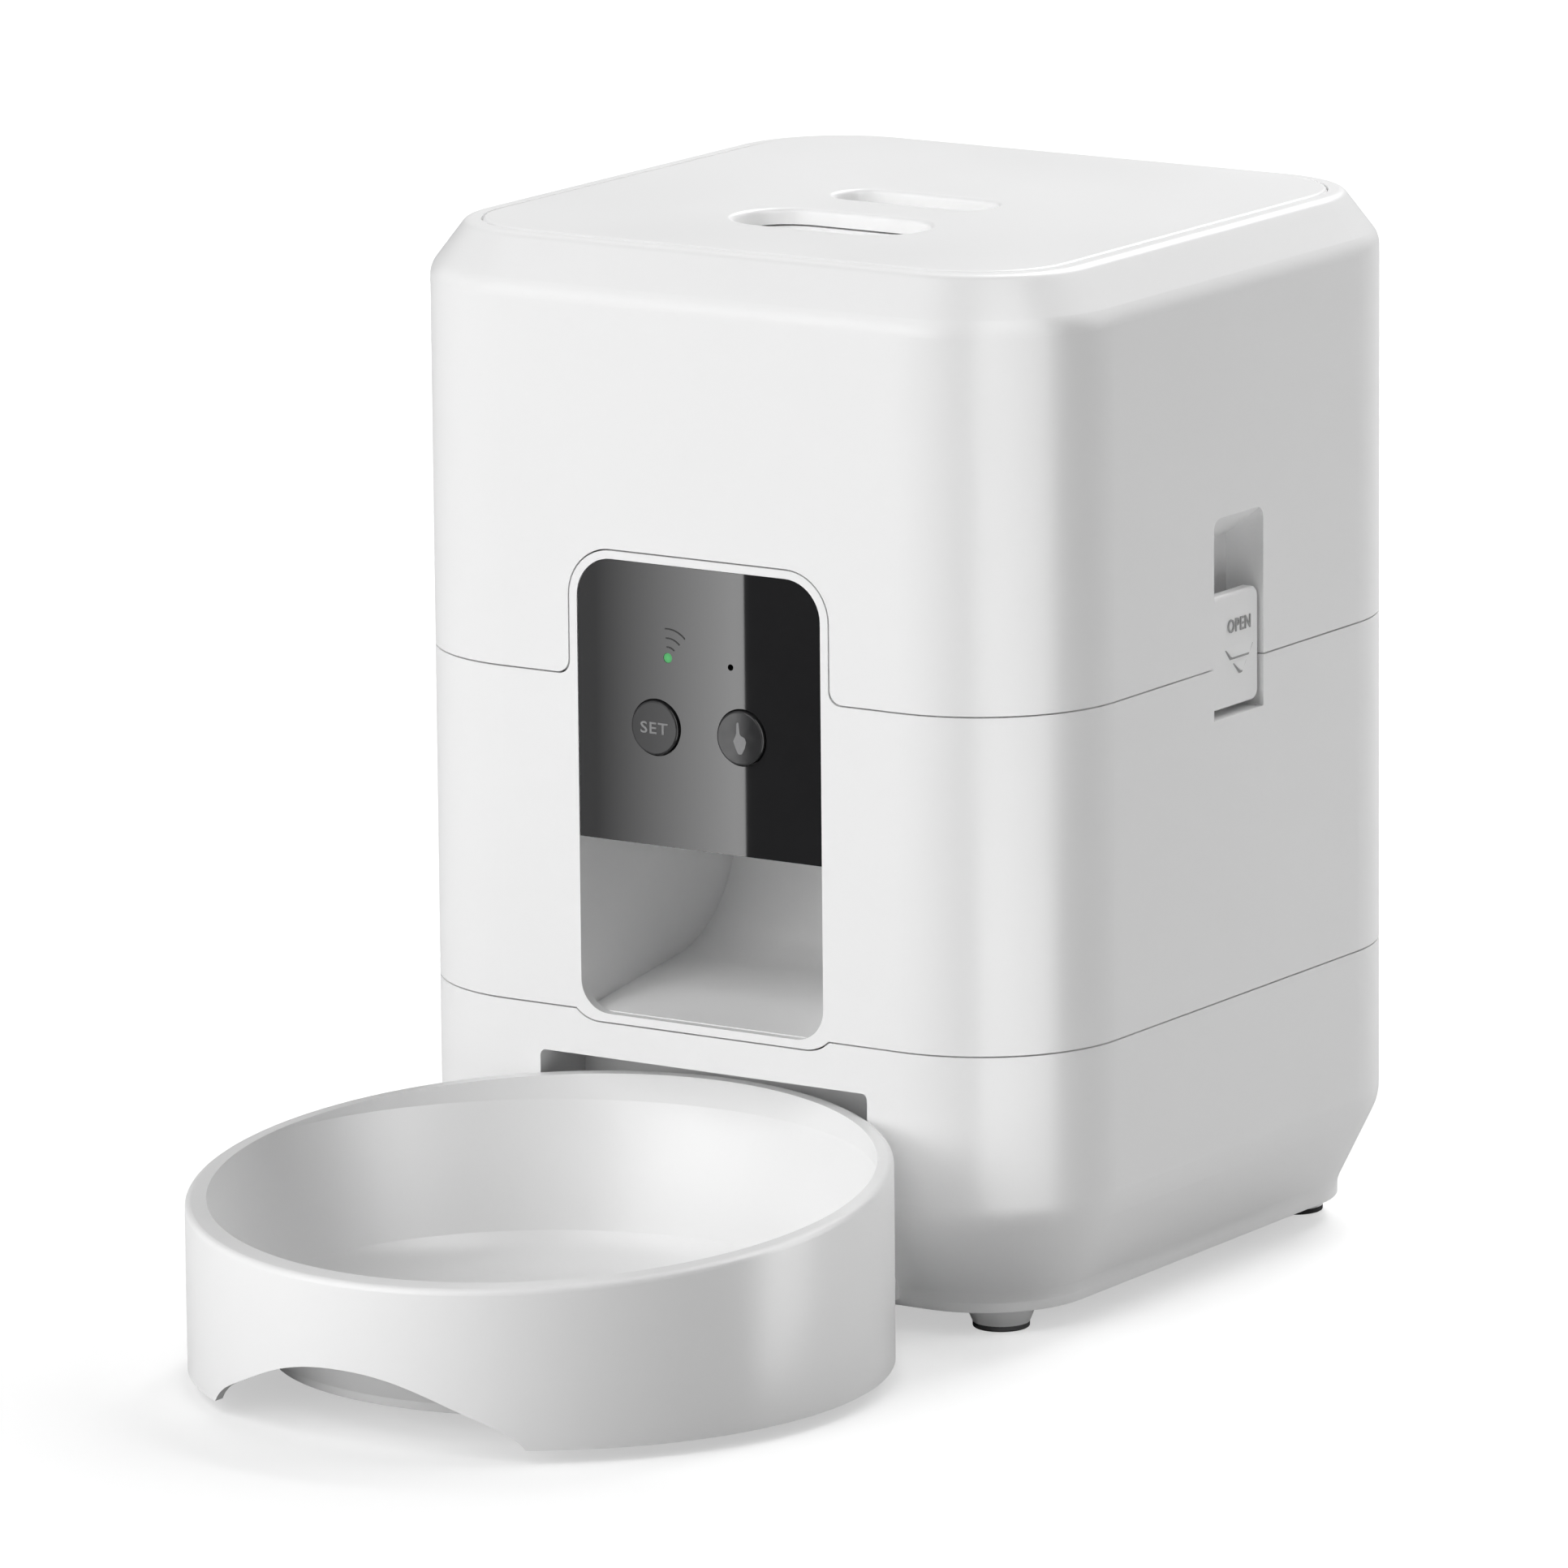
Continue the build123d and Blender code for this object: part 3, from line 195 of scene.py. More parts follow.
def makeGlossBlack():
    # Black acrylic window: polished, so it mirrors the studio; only faint polishing haze
    material, tree, shader, place = newMaterial("glossBlackAcrylic")
    haze = addNode(tree, "ShaderNodeTexNoise", {
        "Vector": place, "Scale": perMetre(18), "Detail": 4.0})
    gloss = addNode(tree, "ShaderNodeMapRange", {
        "Value": haze.outputs["Fac"], "To Min": 0.01, "To Max": 0.025})
    tint = addNode(tree, "ShaderNodeMix", {"Factor": haze.outputs["Fac"]}, data_type="RGBA")
    tint.inputs["A"].default_value = linear("#222223")
    tint.inputs["B"].default_value = linear("#262627")
    tree.links.new(tint.outputs["Result"], shader.inputs["Base Color"])
    tree.links.new(gloss.outputs["Result"], shader.inputs["Roughness"])
    shader.inputs["IOR"].default_value = 1.49
    return material


def makeClearSilicone():
    # Silicone: milky, lets light through, soft highlights
    material, tree, shader, place = newMaterial("milkySilicone")
    cloud = addNode(tree, "ShaderNodeTexNoise", {
        "Vector": place, "Scale": perMetre(9), "Detail": 3.0})
    tint = addNode(tree, "ShaderNodeMix", {"Factor": cloud.outputs["Fac"]}, data_type="RGBA")
    tint.inputs["A"].default_value = linear("#F1F2F2")
    tint.inputs["B"].default_value = linear("#E3E6E7")
    gloss = addNode(tree, "ShaderNodeMapRange", {
        "Value": cloud.outputs["Fac"], "To Min": 0.3, "To Max": 0.45})
    tree.links.new(tint.outputs["Result"], shader.inputs["Base Color"])
    tree.links.new(gloss.outputs["Result"], shader.inputs["Roughness"])
    shader.inputs["IOR"].default_value = 1.41
    shader.inputs["Transmission Weight"].default_value = 0.45
    return material


def makeGreenLens():
    # Light pipe of tinted acrylic, lit from behind: bright in the middle, dim at its rim
    material, tree, shader, place = newMaterial("greenLightPipe")
    middle = (ledLow + ledHigh) / 2
    centred = addNode(tree, "ShaderNodeVectorMath", {0: place, 1: (-middle.x, 0.0, -middle.z)})
    flat = addNode(tree, "ShaderNodeVectorMath", {0: centred.outputs[0], 1: (1.0, 0.0, 1.0)},
                   operation="MULTIPLY")
    away = addNode(tree, "ShaderNodeVectorMath", {0: flat.outputs[0]}, operation="LENGTH")
    glow = addNode(tree, "ShaderNodeMapRange", {
        "Value": away.outputs["Value"], "From Max": 1.3 * mm, "To Min": 1.0, "To Max": 0.35})
    tint = addNode(tree, "ShaderNodeMix", {"Factor": glow.outputs["Result"]}, data_type="RGBA")
    tint.inputs["A"].default_value = linear("#2C6B3E")
    tint.inputs["B"].default_value = linear("#3F9A55")
    tree.links.new(tint.outputs["Result"], shader.inputs["Base Color"])
    tree.links.new(tint.outputs["Result"], shader.inputs["Emission Color"])
    shader.inputs["Emission Strength"].default_value = 0.6
    shader.inputs["Roughness"].default_value = 0.3
    return material


def makeCircuitBoard():
    # FR4 board under green solder mask, with tracks showing as slightly lighter lines
    material, tree, shader, place = newMaterial("greenSolderMask")
    tracks = addNode(tree, "ShaderNodeTexBrick", {
        "Vector": place, "Scale": perMetre(6), "Mortar Size": 0.06})
    tracks.inputs["Color1"].default_value = linear("#14512F")
    tracks.inputs["Color2"].default_value = linear("#175A35")
    tracks.inputs["Mortar"].default_value = linear("#2F7F50")
    relief = addNode(tree, "ShaderNodeBump", {
        "Height": tracks.outputs["Fac"], "Strength": 0.3, "Distance": 0.05 * mm})
    tree.links.new(tracks.outputs["Color"], shader.inputs["Base Color"])
    tree.links.new(relief.outputs["Normal"], shader.inputs["Normal"])
    shader.inputs["Roughness"].default_value = 0.35
    return material


def metalFinish(name, look):
    # metal with a fine grain in its gloss and a few darker specks
    material, tree, shader, place = newMaterial(name)
    grain = addNode(tree, "ShaderNodeTexNoise", {
        "Vector": place, "Scale": perMetre(look["grainMm"]), "Detail": 4.0})
    tint = addNode(tree, "ShaderNodeMix", {"Factor": grain.outputs["Fac"]}, data_type="RGBA")
    tint.inputs["A"].default_value = linear(look["colour"])
    tint.inputs["B"].default_value = linear(look["shade"])
    gloss = addNode(tree, "ShaderNodeMapRange", {
        "Value": grain.outputs["Fac"], "To Min": look["gloss"][0], "To Max": look["gloss"][1]})
    tree.links.new(tint.outputs["Result"], shader.inputs["Base Color"])
    tree.links.new(gloss.outputs["Result"], shader.inputs["Roughness"])
    shader.inputs["Metallic"].default_value = 1.0
    return material


# Steel screws, pins and cans: zinc plated, cool grey
zincSteel = metalFinish("zincPlatedSteel", {
    "colour": "#B9BBBD", "shade": "#A3A5A8", "grainMm": 0.8, "gloss": (0.25, 0.42)})

# Sintered bronze bush: warm, porous, dull
sinteredBronze = metalFinish("sinteredBronze", {
    "colour": "#B58A50", "shade": "#8B6738", "grainMm": 0.4, "gloss": (0.4, 0.6)})


def makeCellWrap():
    # D cells in printed shrink film: dark body with a copper-coloured band at the plus end
    material, tree, shader, place = newMaterial("cellShrinkFilm")
    low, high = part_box("batteries")
    parts = addNode(tree, "ShaderNodeSeparateXYZ", {0: place})
    along = addNode(tree, "ShaderNodeMapRange", {
        "Value": parts.outputs["Y"], "From Min": low.y, "From Max": high.y})
    bands = addNode(tree, "ShaderNodeValToRGB", {"Fac": along.outputs["Result"]})
    bands.color_ramp.interpolation = "CONSTANT"
    bands.color_ramp.elements[0].color = linear("#2A2C2F")
    bands.color_ramp.elements[1].position = 0.68
    bands.color_ramp.elements[1].color = linear("#B87942")
    tip = bands.color_ramp.elements.new(0.965)
    tip.color = linear("#C9CACB")
    tree.links.new(bands.outputs["Color"], shader.inputs["Base Color"])
    shader.inputs["Roughness"].default_value = 0.32
    shader.inputs["Coat Weight"].default_value = 0.4
    return material


def makeSachetPaper():
    # Spun-bonded fibre paper: white, dry, with a tangle of fibres and small pricked holes
    material, tree, shader, place = newMaterial("fibreSachetPaper")
    fibres = addNode(tree, "ShaderNodeTexNoise", {
        "Vector": place, "Scale": perMetre(1.2), "Detail": 6.0, "Distortion": 2.0})
    tint = addNode(tree, "ShaderNodeMix", {"Factor": fibres.outputs["Fac"]}, data_type="RGBA")
    tint.inputs["A"].default_value = linear("#F4F3EF")
    tint.inputs["B"].default_value = linear("#D9D8D2")
    holes = addNode(tree, "ShaderNodeTexVoronoi", {"Vector": place, "Scale": perMetre(2.4)})
    pricks = addNode(tree, "ShaderNodeMapRange", {"Value": holes.outputs["Distance"], "From Max": 0.16})
    relief = addNode(tree, "ShaderNodeBump", {
        "Height": pricks.outputs["Result"], "Strength": 0.6, "Distance": 0.15 * mm})
    tree.links.new(tint.outputs["Result"], shader.inputs["Base Color"])
    tree.links.new(relief.outputs["Normal"], shader.inputs["Normal"])
    shader.inputs["Roughness"].default_value = 0.85
    return material


def printedInkAndShade(name, colour, shade):
    # pad-printed ink: flat and slightly uneven where the film is thin. Also the flat grey of painted shade
    # on the latch marks
    material, tree, shader, place = newMaterial(name)
    film = addNode(tree, "ShaderNodeTexNoise", {"Vector": place, "Scale": perMetre(0.6), "Detail": 2.0})
    tint = addNode(tree, "ShaderNodeMix", {"Factor": film.outputs["Fac"]}, data_type="RGBA")
    tint.inputs["A"].default_value = linear(colour)
    tint.inputs["B"].default_value = linear(shade)
    tree.links.new(tint.outputs["Result"], shader.inputs["Base Color"])
    shader.inputs["Roughness"].default_value = 0.5
    return material


glossBlack = makeGlossBlack()
clearSilicone = makeClearSilicone()
greenLens = makeGreenLens()
circuitBoard = makeCircuitBoard()
cellWrap = makeCellWrap()
sachetPaper = makeSachetPaper()
darkInk = printedInkAndShade("darkGreyInk", "#1A1A1B", "#262627")
greyInk = printedInkAndShade("lightGreyInk", "#8C8C8D", "#808081")
# middle grey on the latch marks: painted shade standing in for the shadows round the raised OPEN letters
# and under the arrow's lower edges
tabPaintedShade = printedInkAndShade("paintedShadeGrey", "#A3A3A3", "#989898")

slotFinish = {
    "white_abs": satinWhiteAbs, "inner_abs": plainWhiteAbs, "black_rubber": footRubber,
    "grey_rubber": padRubber, "clear_silicone": clearSilicone, "panel_gloss": glossBlack,
    "button_abs": keyCapAbs, "led_lens": greenLens, "circuit_board": circuitBoard,
    "steel": zincSteel, "gear_acetal": milkyAcetal, "bronze": sinteredBronze,
    "black_plastic": blackNylon, "battery_wrap": cellWrap, "sachet": sachetPaper,
}
for part in frame["record"]["subparts"]:
    for materialSlot in nodes[part["node"]].material_slots:
        materialSlot.material = slotFinish[part["material_slot"]]
print("materials on", len(nodes), "nodes")


def pick(*objects):
    # leaves just these objects selected, the first one active
    if bpy.context.object and bpy.context.object.mode != "OBJECT":
        bpy.ops.object.mode_set(mode="OBJECT")
    bpy.ops.object.select_all(action="DESELECT")
    for each in objects:
        each.select_set(True)
    bpy.context.view_layer.objects.active = objects[0]


def startPiece(name):
    # names the primitive just added and puts its place into its mesh
    piece = bpy.context.object
    piece.name = name
    piece.data.name = name
    pick(piece)
    bpy.ops.object.transform_apply(location=True, rotation=True, scale=True)
    return piece


def joinPieces(name, pieces):
    pick(*pieces)
    bpy.ops.object.join()
    joined = bpy.context.object
    joined.name = name
    joined.data.name = name
    return joined


def finishPiece(piece, material, body):
    piece.data.materials.clear()
    piece.data.materials.append(material)
    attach(piece, body)
    return piece


def applyModifier(piece, kind, **settings):
    pick(piece)
    modifier = piece.modifiers.new(kind.lower(), kind)
    for name, value in settings.items():
        setattr(modifier, name, value)
    bpy.ops.object.modifier_apply(modifier=modifier.name)


def recalculateNormals(piece):
    pick(piece)
    bpy.ops.object.mode_set(mode="EDIT")
    bpy.ops.mesh.select_all(action="SELECT")
    bpy.ops.mesh.remove_doubles(threshold=0.000005)
    bpy.ops.mesh.normals_make_consistent(inside=False)
    bpy.ops.object.mode_set(mode="OBJECT")


blockLetters = {
    # shares of the letters' height, before the word is fitted to its size
    "spacing": 1.12, "thickness": 0.06, "brokenEdge": 0.012,
    "curveSteps": 3,
}


def makeWord(name, text, width, height, depth, turn, place):
    # plain block letters, made a mesh, fitted to a size, then turned and put in place
    bpy.ops.object.select_all(action="DESELECT")
    bpy.ops.object.text_add()
    word = bpy.context.object
    word.data.body = text
    word.data.align_x = "CENTER"
    word.data.align_y = "CENTER"
    word.data.space_character = blockLetters["spacing"]
    word.data.extrude = blockLetters["thickness"]
    word.data.bevel_depth = blockLetters["brokenEdge"]
    word.data.resolution_u = blockLetters["curveSteps"]
    pick(word)
    bpy.ops.object.convert(target="MESH")
    corners = [Vector(corner) for corner in word.bound_box]
    low = Vector([min(c[i] for c in corners) for i in range(3)])
    high = Vector([max(c[i] for c in corners) for i in range(3)])
    size = high - low
    fit = Matrix.Diagonal((width / size.x, height / size.y, depth / size.z, 1))
    word.data.transform(Matrix.Translation(place) @ turn @ fit @ Matrix.Translation(-(low + high) / 2))
    word.name = name
    word.data.name = name
    recalculateNormals(word)
    return word


facingFront = Matrix.Rotation(math.radians(90), 4, "X")


# Printed on the panel: arcs that fan out from the status light
wirelessMark = {
    "radii": (2.7, 4.9, 7.2),   # mm, from the light
    "line": 0.36,               # mm wide
    "film": 0.05,               # mm thick
    "from": -6, "to": 45,       # degrees to the right of straight up
    "steps": 14,
}


def makeWirelessMark(mark):
    middle = (ledLow + ledHigh) / 2
    front = panelLow.y - mark["film"] * mm / 2
    start = math.radians(mark["to"])
    arcs = []
    for radius in mark["radii"]:
        bpy.ops.object.select_all(action="DESELECT")
        # the line's cross-section at the arc's right end, turned to point away from the light
        bpy.ops.mesh.primitive_plane_add(
            size=1, rotation=(0, start - math.radians(90), 0),
            location=(middle.x + radius * mm * math.sin(start), front,
                      middle.z + radius * mm * math.cos(start)))
        arc = bpy.context.object
        arc.scale = (mark["line"] * mm, mark["film"] * mm, 1)
        startPiece("arc")
        bpy.ops.object.mode_set(mode="EDIT")
        bpy.ops.mesh.select_all(action="SELECT")
        bpy.ops.mesh.spin(steps=mark["steps"], angle=math.radians(mark["to"] - mark["from"]),
                          center=(middle.x, front, middle.z), axis=(0, 1, 0))
        bpy.ops.object.mode_set(mode="OBJECT")
        arcs.append(arc)
    return arcs


arcPieces = makeWirelessMark(wirelessMark)
wirelessPiece = joinPieces("wireless_mark", arcPieces)
recalculateNormals(wirelessPiece)
finishPiece(wirelessPiece, darkInk, "base")
print("wireless mark made")


# Legends on the two keys, printed in light grey; sizes in mm
setLegend = {"text": "SET", "width": 7.9, "height": 2.9, "film": 0.12, "proud": 0.02}
setLow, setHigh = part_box("set_button")
setPiece = makeWord(
    "set_legend", setLegend["text"], setLegend["width"] * mm, setLegend["height"] * mm,
    setLegend["film"] * mm, facingFront,
    Vector(((setLow.x + setHigh.x) / 2, setLow.y - setLegend["proud"] * mm, (setLow.z + setHigh.z) / 2)))
finishPiece(setPiece, greyInk, "set_key")

handLegend = {
    # an upright hand, row by row from the fingertip down: height, left edge and right edge in mm
    # from the middle of the key
    "rows": ((3.9, -0.7, -0.35), (3.4, -0.9, -0.2), (1.2, -0.95, 0.0), (0.65, -1.15, 0.4),
             (0.45, -1.2, 0.95), (0.1, -1.4, 1.55), (-0.8, -1.85, 1.85), (-2.2, -1.3, 1.5),
             (-3.3, -0.8, 0.9), (-3.9, -0.35, 0.5)),
    "film": 0.12,      # mm thick
    "proud": 0.08,     # mm of that above the key's face
    "corner": 0.18,    # mm, rounding of the outline
    "cornerSteps": 3,
    "sharpest": 12,    # degrees, the turn from which a corner is rounded
}


def makeHandLegend(legend):
    low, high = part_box("feed_button")
    middle = (low + high) / 2
    rows = legend["rows"]
    bpy.ops.object.select_all(action="DESELECT")
    # x_subdivisions counts faces across, y_subdivisions faces down the hand
    bpy.ops.mesh.primitive_grid_add(x_subdivisions=1, y_subdivisions=len(rows) - 1, size=1)
    hand = bpy.context.object
    front = low.y - legend["proud"] * mm
    # the grid's vertices run from its bottom row up, left then right
    for index, vertex in enumerate(hand.data.vertices):
        height, left, right = rows[len(rows) - 1 - index // 2]
        vertex.co = (middle.x + (right if index % 2 else left) * mm, front, middle.z + height * mm)
    hand.name = "hand_legend"
    pick(hand)
    bpy.ops.object.mode_set(mode="EDIT")
    bpy.ops.mesh.select_all(action="SELECT")
    bpy.ops.mesh.extrude_region_move(TRANSFORM_OT_translate={"value": (0, legend["film"] * mm, 0)})
    bpy.ops.mesh.select_all(action="SELECT")
    bpy.ops.mesh.normals_make_consistent(inside=False)
    bpy.ops.object.mode_set(mode="OBJECT")
    applyModifier(hand, "BEVEL", width=legend["corner"] * mm, segments=legend["cornerSteps"],
                  limit_method="ANGLE", angle_limit=math.radians(legend["sharpest"]), affect="VERTICES")
    return hand


handPiece = makeHandLegend(handLegend)
finishPiece(handPiece, greyInk, "feed_key")
print("key legends made")


# Marks on the outer face of each latch tab; along the tab towards the back, and heights above
# the tab's middle, in mm
openWord = {"text": "OPEN", "width": 10.6, "height": 3.4, "rise": 0.3, "above": 5.95, "back": 1.6}
arrowMark = {
    "back": 1.75,     # mm towards the back of the feeder
    # along, height and rise of the corners: the upper edge dies into the face, the lower one stands
    "body": ((-6.85, 0.9, 0.0), (6.85, 0.9, 0.0), (3.95, -1.75, 0.6), (-3.95, -1.75, 0.6)),
    "tip": ((-3.3, -2.85, 0.1), (3.7, -2.85, 0.1), (0.75, -5.65, 0.6), (0.25, -5.65, 0.6)),
    "root": 0.9,      # mm that the shapes reach back into the tab
    "edge": 0.06,     # mm, broken edges
    "smoothBelow": 35,      # degrees between faces that are shaded smooth
    # the grey line is painted shadow beside and under the raised shapes' lower edges
    "line": (0.4, 0.7),     # mm, width of the grey line beside and under the shapes
    "film": (-0.03, 0.12),  # mm that the line's plate stands above the face, at its top and bottom
}


def shadowLineCorners(corners, mark):
    # a shape's corners moved out to carry the grey line of painted shadow: sunk at the top, proud at the
    # bottom
    middle = sum(corner[0] for corner in corners) / len(corners)
    lowest = min(corner[1] for corner in corners)
    beside, under = mark["line"]
    moved = []
    for along, z, rise in corners:
        low = z == lowest
        moved.append((along + math.copysign(beside, along - middle), z - under if low else z,
                      mark["film"][1] if low else mark["film"][0]))
    return moved


def makeArrow(side, faceX, middleY, level, mark, shapes):
    # two ramps that rise out of the tab to straight lower edges: an arrow that points down
    made = []
    for corners in shapes:
        bpy.ops.object.select_all(action="DESELECT")
        bpy.ops.mesh.primitive_plane_add(size=1)
        ramp = bpy.context.object
        # the plane's four corners in order round its edge
        ring = list(ramp.data.polygons[0].vertices)
        for index, (along, z, rise) in zip(ring, corners):
            ramp.data.vertices[index].co = (
                faceX + side * rise * mm, middleY + (along + mark["back"]) * mm, level + z * mm)
        ramp.name = "ramp"
        pick(ramp)
        bpy.ops.object.mode_set(mode="EDIT")
        bpy.ops.mesh.select_all(action="SELECT")
        bpy.ops.mesh.extrude_region_move(
            TRANSFORM_OT_translate={"value": (-side * mark["root"] * mm, 0, 0)})
        bpy.ops.mesh.select_all(action="SELECT")
        bpy.ops.mesh.normals_make_consistent(inside=False)
        bpy.ops.mesh.bevel(offset=mark["edge"] * mm, segments=2, affect="EDGES")
        bpy.ops.object.mode_set(mode="OBJECT")
        made.append(ramp)
    return made


def makeTabMarks(side, nodeName, body):
    # side is 1 on the right of the feeder and -1 on its left
    low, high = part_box(nodeName)
    faceX = high.x if side > 0 else low.x
    middleY = (low.y + high.y) / 2
    level = (low.z + high.z) / 2
    turn = Matrix.Rotation(math.radians(90 * side), 4, "Z") @ facingFront
    word = makeWord(
        nodeName + "_word", openWord["text"], openWord["width"] * mm, openWord["height"] * mm,
        openWord["rise"] * 2 * mm, turn,
        Vector((faceX, middleY + openWord["back"] * mm, level + openWord["above"] * mm)))
    # the raised word is coloured grey: painted shade in place of the shadows round its letters
    finishPiece(word, tabPaintedShade, body)
    # the white raised arrow, and under it a grey plate that paints the shadow along its lower edges
    raised = [arrowMark["body"], arrowMark["tip"]]
    shadowLined = [shadowLineCorners(corners, arrowMark) for corners in raised]
    for ending, shapes, finish in (("_arrow", raised, satinWhiteAbs), ("_arrow_painted_shadow", shadowLined, tabPaintedShade)):
        arrow = joinPieces(nodeName + ending, makeArrow(side, faceX, middleY, level, arrowMark, shapes))
        pick(arrow)
        bpy.ops.object.shade_smooth_by_angle(angle=math.radians(arrowMark["smoothBelow"]))
        finishPiece(arrow, finish, body)


makeTabMarks(1, "latch_right", "latch_right_tab")
makeTabMarks(-1, "latch_left", "latch_left_tab")
print("latch marks made")


# Drying agent in a round paper sachet with a crimped border
sachetShape = {
    "gap": 0.4,           # mm between the border and the box
    "rimWidth": 3.2,      # mm, flat crimped border
    "rimHeight": 0.7,     # mm, two sheets pressed together
    "crown": 0.92,        # share of the box height that the pad fills
    "rimLevel": 0.45,     # share of the pad's height at which the border lies
    "reach": {1: 0.55, -1: 0.43},   # share of that height that each side swells, up and down
    "rings": 9,           # steps from the border to the middle
    "inset": 0.97,        # share of an even step, so that the last ring stays open
    "roundness": 0.9,     # 1 is a quarter circle, less is fuller
    "pleats": 40,
    "pleatDepth": 0.3,    # mm
    "wrinkle": 0.35,      # mm
    "wrinkleSize": 6,     # mm
    "fill": 0.6,
}


def makeSachet(shape):
    low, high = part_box("desiccant_sachet")
    centre = (low + high) / 2
    radius = (high.x - low.x) / 2 - shape["gap"] * mm
    height = (high.z - low.z) * shape["crown"]
    rimWidth = shape["rimWidth"] * mm
    rimHeight = shape["rimHeight"] * mm
    step = (radius - rimWidth) / (shape["rings"] + 1)
    bpy.ops.object.select_all(action="DESELECT")
    bpy.ops.mesh.primitive_cylinder_add(
        vertices=shape["pleats"] * 2, radius=radius, depth=rimHeight, end_fill_type="NGON",
        location=(centre.x, centre.y, low.z + height * shape["rimLevel"]))
    sachet = startPiece("sachet_pad")
    for facing, reach in shape["reach"].items():
        bpy.ops.object.mode_set(mode="EDIT")
        bpy.ops.mesh.select_all(action="DESELECT")
        bpy.ops.mesh.select_mode(type="FACE")
        bpy.ops.object.mode_set(mode="OBJECT")
        for face in sachet.data.polygons:
            face.select = face.normal.z * facing > 0.9   # the top or the bottom face
        bpy.ops.object.mode_set(mode="EDIT")
        bpy.ops.mesh.inset(thickness=rimWidth)
        climbed = 0.0
        for ring in range(1, shape["rings"] + 1):
            # quarter-circle crown, steep at the rim and flat on top
            share = ring / (shape["rings"] + 1)
            bpy.ops.mesh.inset(thickness=step * shape["inset"])
            curve = math.sin(math.acos(1 - share)) ** shape["roundness"]
            target = (height * reach - rimHeight / 2) * curve
            bpy.ops.transform.translate(value=(0, 0, facing * (target - climbed)))
            climbed = target
        bpy.ops.object.mode_set(mode="OBJECT")
    texture = bpy.data.textures.new("sachetWrinkles", "CLOUDS")
    texture.noise_scale = shape["wrinkleSize"] * mm
    texture.noise_depth = 2
    applyModifier(sachet, "SUBSURF", levels=1, render_levels=1)
    applyModifier(sachet, "DISPLACE", texture=texture, strength=shape["wrinkle"] * 2 * mm, mid_level=0.5)
    for vertex in sachet.data.vertices:
        # pleats pressed into the border
        offset = Vector((vertex.co.x - centre.x, vertex.co.y - centre.y))
        share = max(0.0, (offset.length - radius + rimWidth) / rimWidth)
        wave = math.cos(shape["pleats"] * math.atan2(offset.y, offset.x))
        vertex.co.z += shape["pleatDepth"] * mm * share * wave
        vertex.co.z = min(max(vertex.co.z, low.z), high.z)
    pick(sachet)
    bpy.ops.object.shade_smooth()
    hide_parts("desiccant_sachet")
    return finishPiece(sachet, sachetPaper, "desiccant")


makeSachet(sachetShape)
print("sachet made")


# Softboxes round the object: azimuth and elevation in degrees, and watts
studio = {
    "boxSize": 1.1, "boxDistance": 2.2,   # m
    "aimHeight": 0.11,                    # m, the level that the boxes are aimed at
    "boxes": {
        "frontLow": (-10, 16, 13.4), "frontHigh": (-10, 48, 11.7),
        "leftLow": (-35, 16, 8.2), "leftHigh": (-45, 48, 6.6), "farLeft": (-90, 16, 2.6),
        "rightLow": (128, 16, 11.0), "rightHigh": (130, 48, 7.3),
        "back": (180, 48, 39.5),
    },
    # a low strip light in front of the bowl: metres across, up, and away from the bowl
    "bowlStrip": {
        "across": -0.06, "height": 0.045, "distance": 0.27, "size": (0.3, 0.07), "watts": 0.082},
    "ambient": 0.01,
    "floorColour": "#C8C8C8",
    "floorRadius": 6, "floorDrop": 0.05 * mm,            # m, just under the feet
    "floorLift": (0.5, 0.95), "liftOver": (0.45, 2.2),   # light added near and far, over how many m
}

for boxName, (azimuth, elevation, watts) in studio["boxes"].items():
    softbox = bpy.data.lights.new(boxName + "Softbox", "AREA")
    softbox.size = studio["boxSize"]
    softbox.energy = watts
    lamp = bpy.data.objects.new(boxName + "Softbox", softbox)
    towards = directionTo(azimuth, elevation)
    lamp.location = Vector((0, bodyCentre.y / 2, studio["aimHeight"])) + towards * studio["boxDistance"]
    lamp.rotation_euler = towards.to_track_quat("Z", "Y").to_euler()
    lamp.visible_camera = False
    bpy.context.collection.objects.link(lamp)

strip = studio["bowlStrip"]
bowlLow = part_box("bowl")[0]
stripLight = bpy.data.lights.new("bowlStrip", "AREA")
stripLight.shape = "RECTANGLE"
stripLight.size, stripLight.size_y = strip["size"]
stripLight.energy = strip["watts"]
stripLamp = bpy.data.objects.new("bowlStrip", stripLight)
stripLamp.location = (strip["across"], bowlLow.y - strip["distance"], strip["height"])
stripLamp.rotation_euler = (math.radians(90), 0, 0)   # shines level, towards the back
stripLamp.visible_camera = False
bpy.context.collection.objects.link(stripLamp)


def glowMaterial(name, low, high, dark, bright):
    # emission that climbs along X from dark at low to bright at high
    material = bpy.data.materials.new(name)
    material.use_nodes = True
    tree = material.node_tree
    tree.nodes.clear()
    place = addNode(tree, "ShaderNodeTexCoord").outputs["Object"]
    across = addNode(tree, "ShaderNodeSeparateXYZ", {0: place}).outputs["X"]
    strength = addNode(tree, "ShaderNodeMapRange", {
        "Value": across, "From Min": low, "From Max": high, "To Min": dark, "To Max": bright})
    glow = addNode(tree, "ShaderNodeEmission", {"Strength": strength.outputs["Result"]})
    addNode(tree, "ShaderNodeOutputMaterial", {"Surface": glow.outputs[0]})
    return material


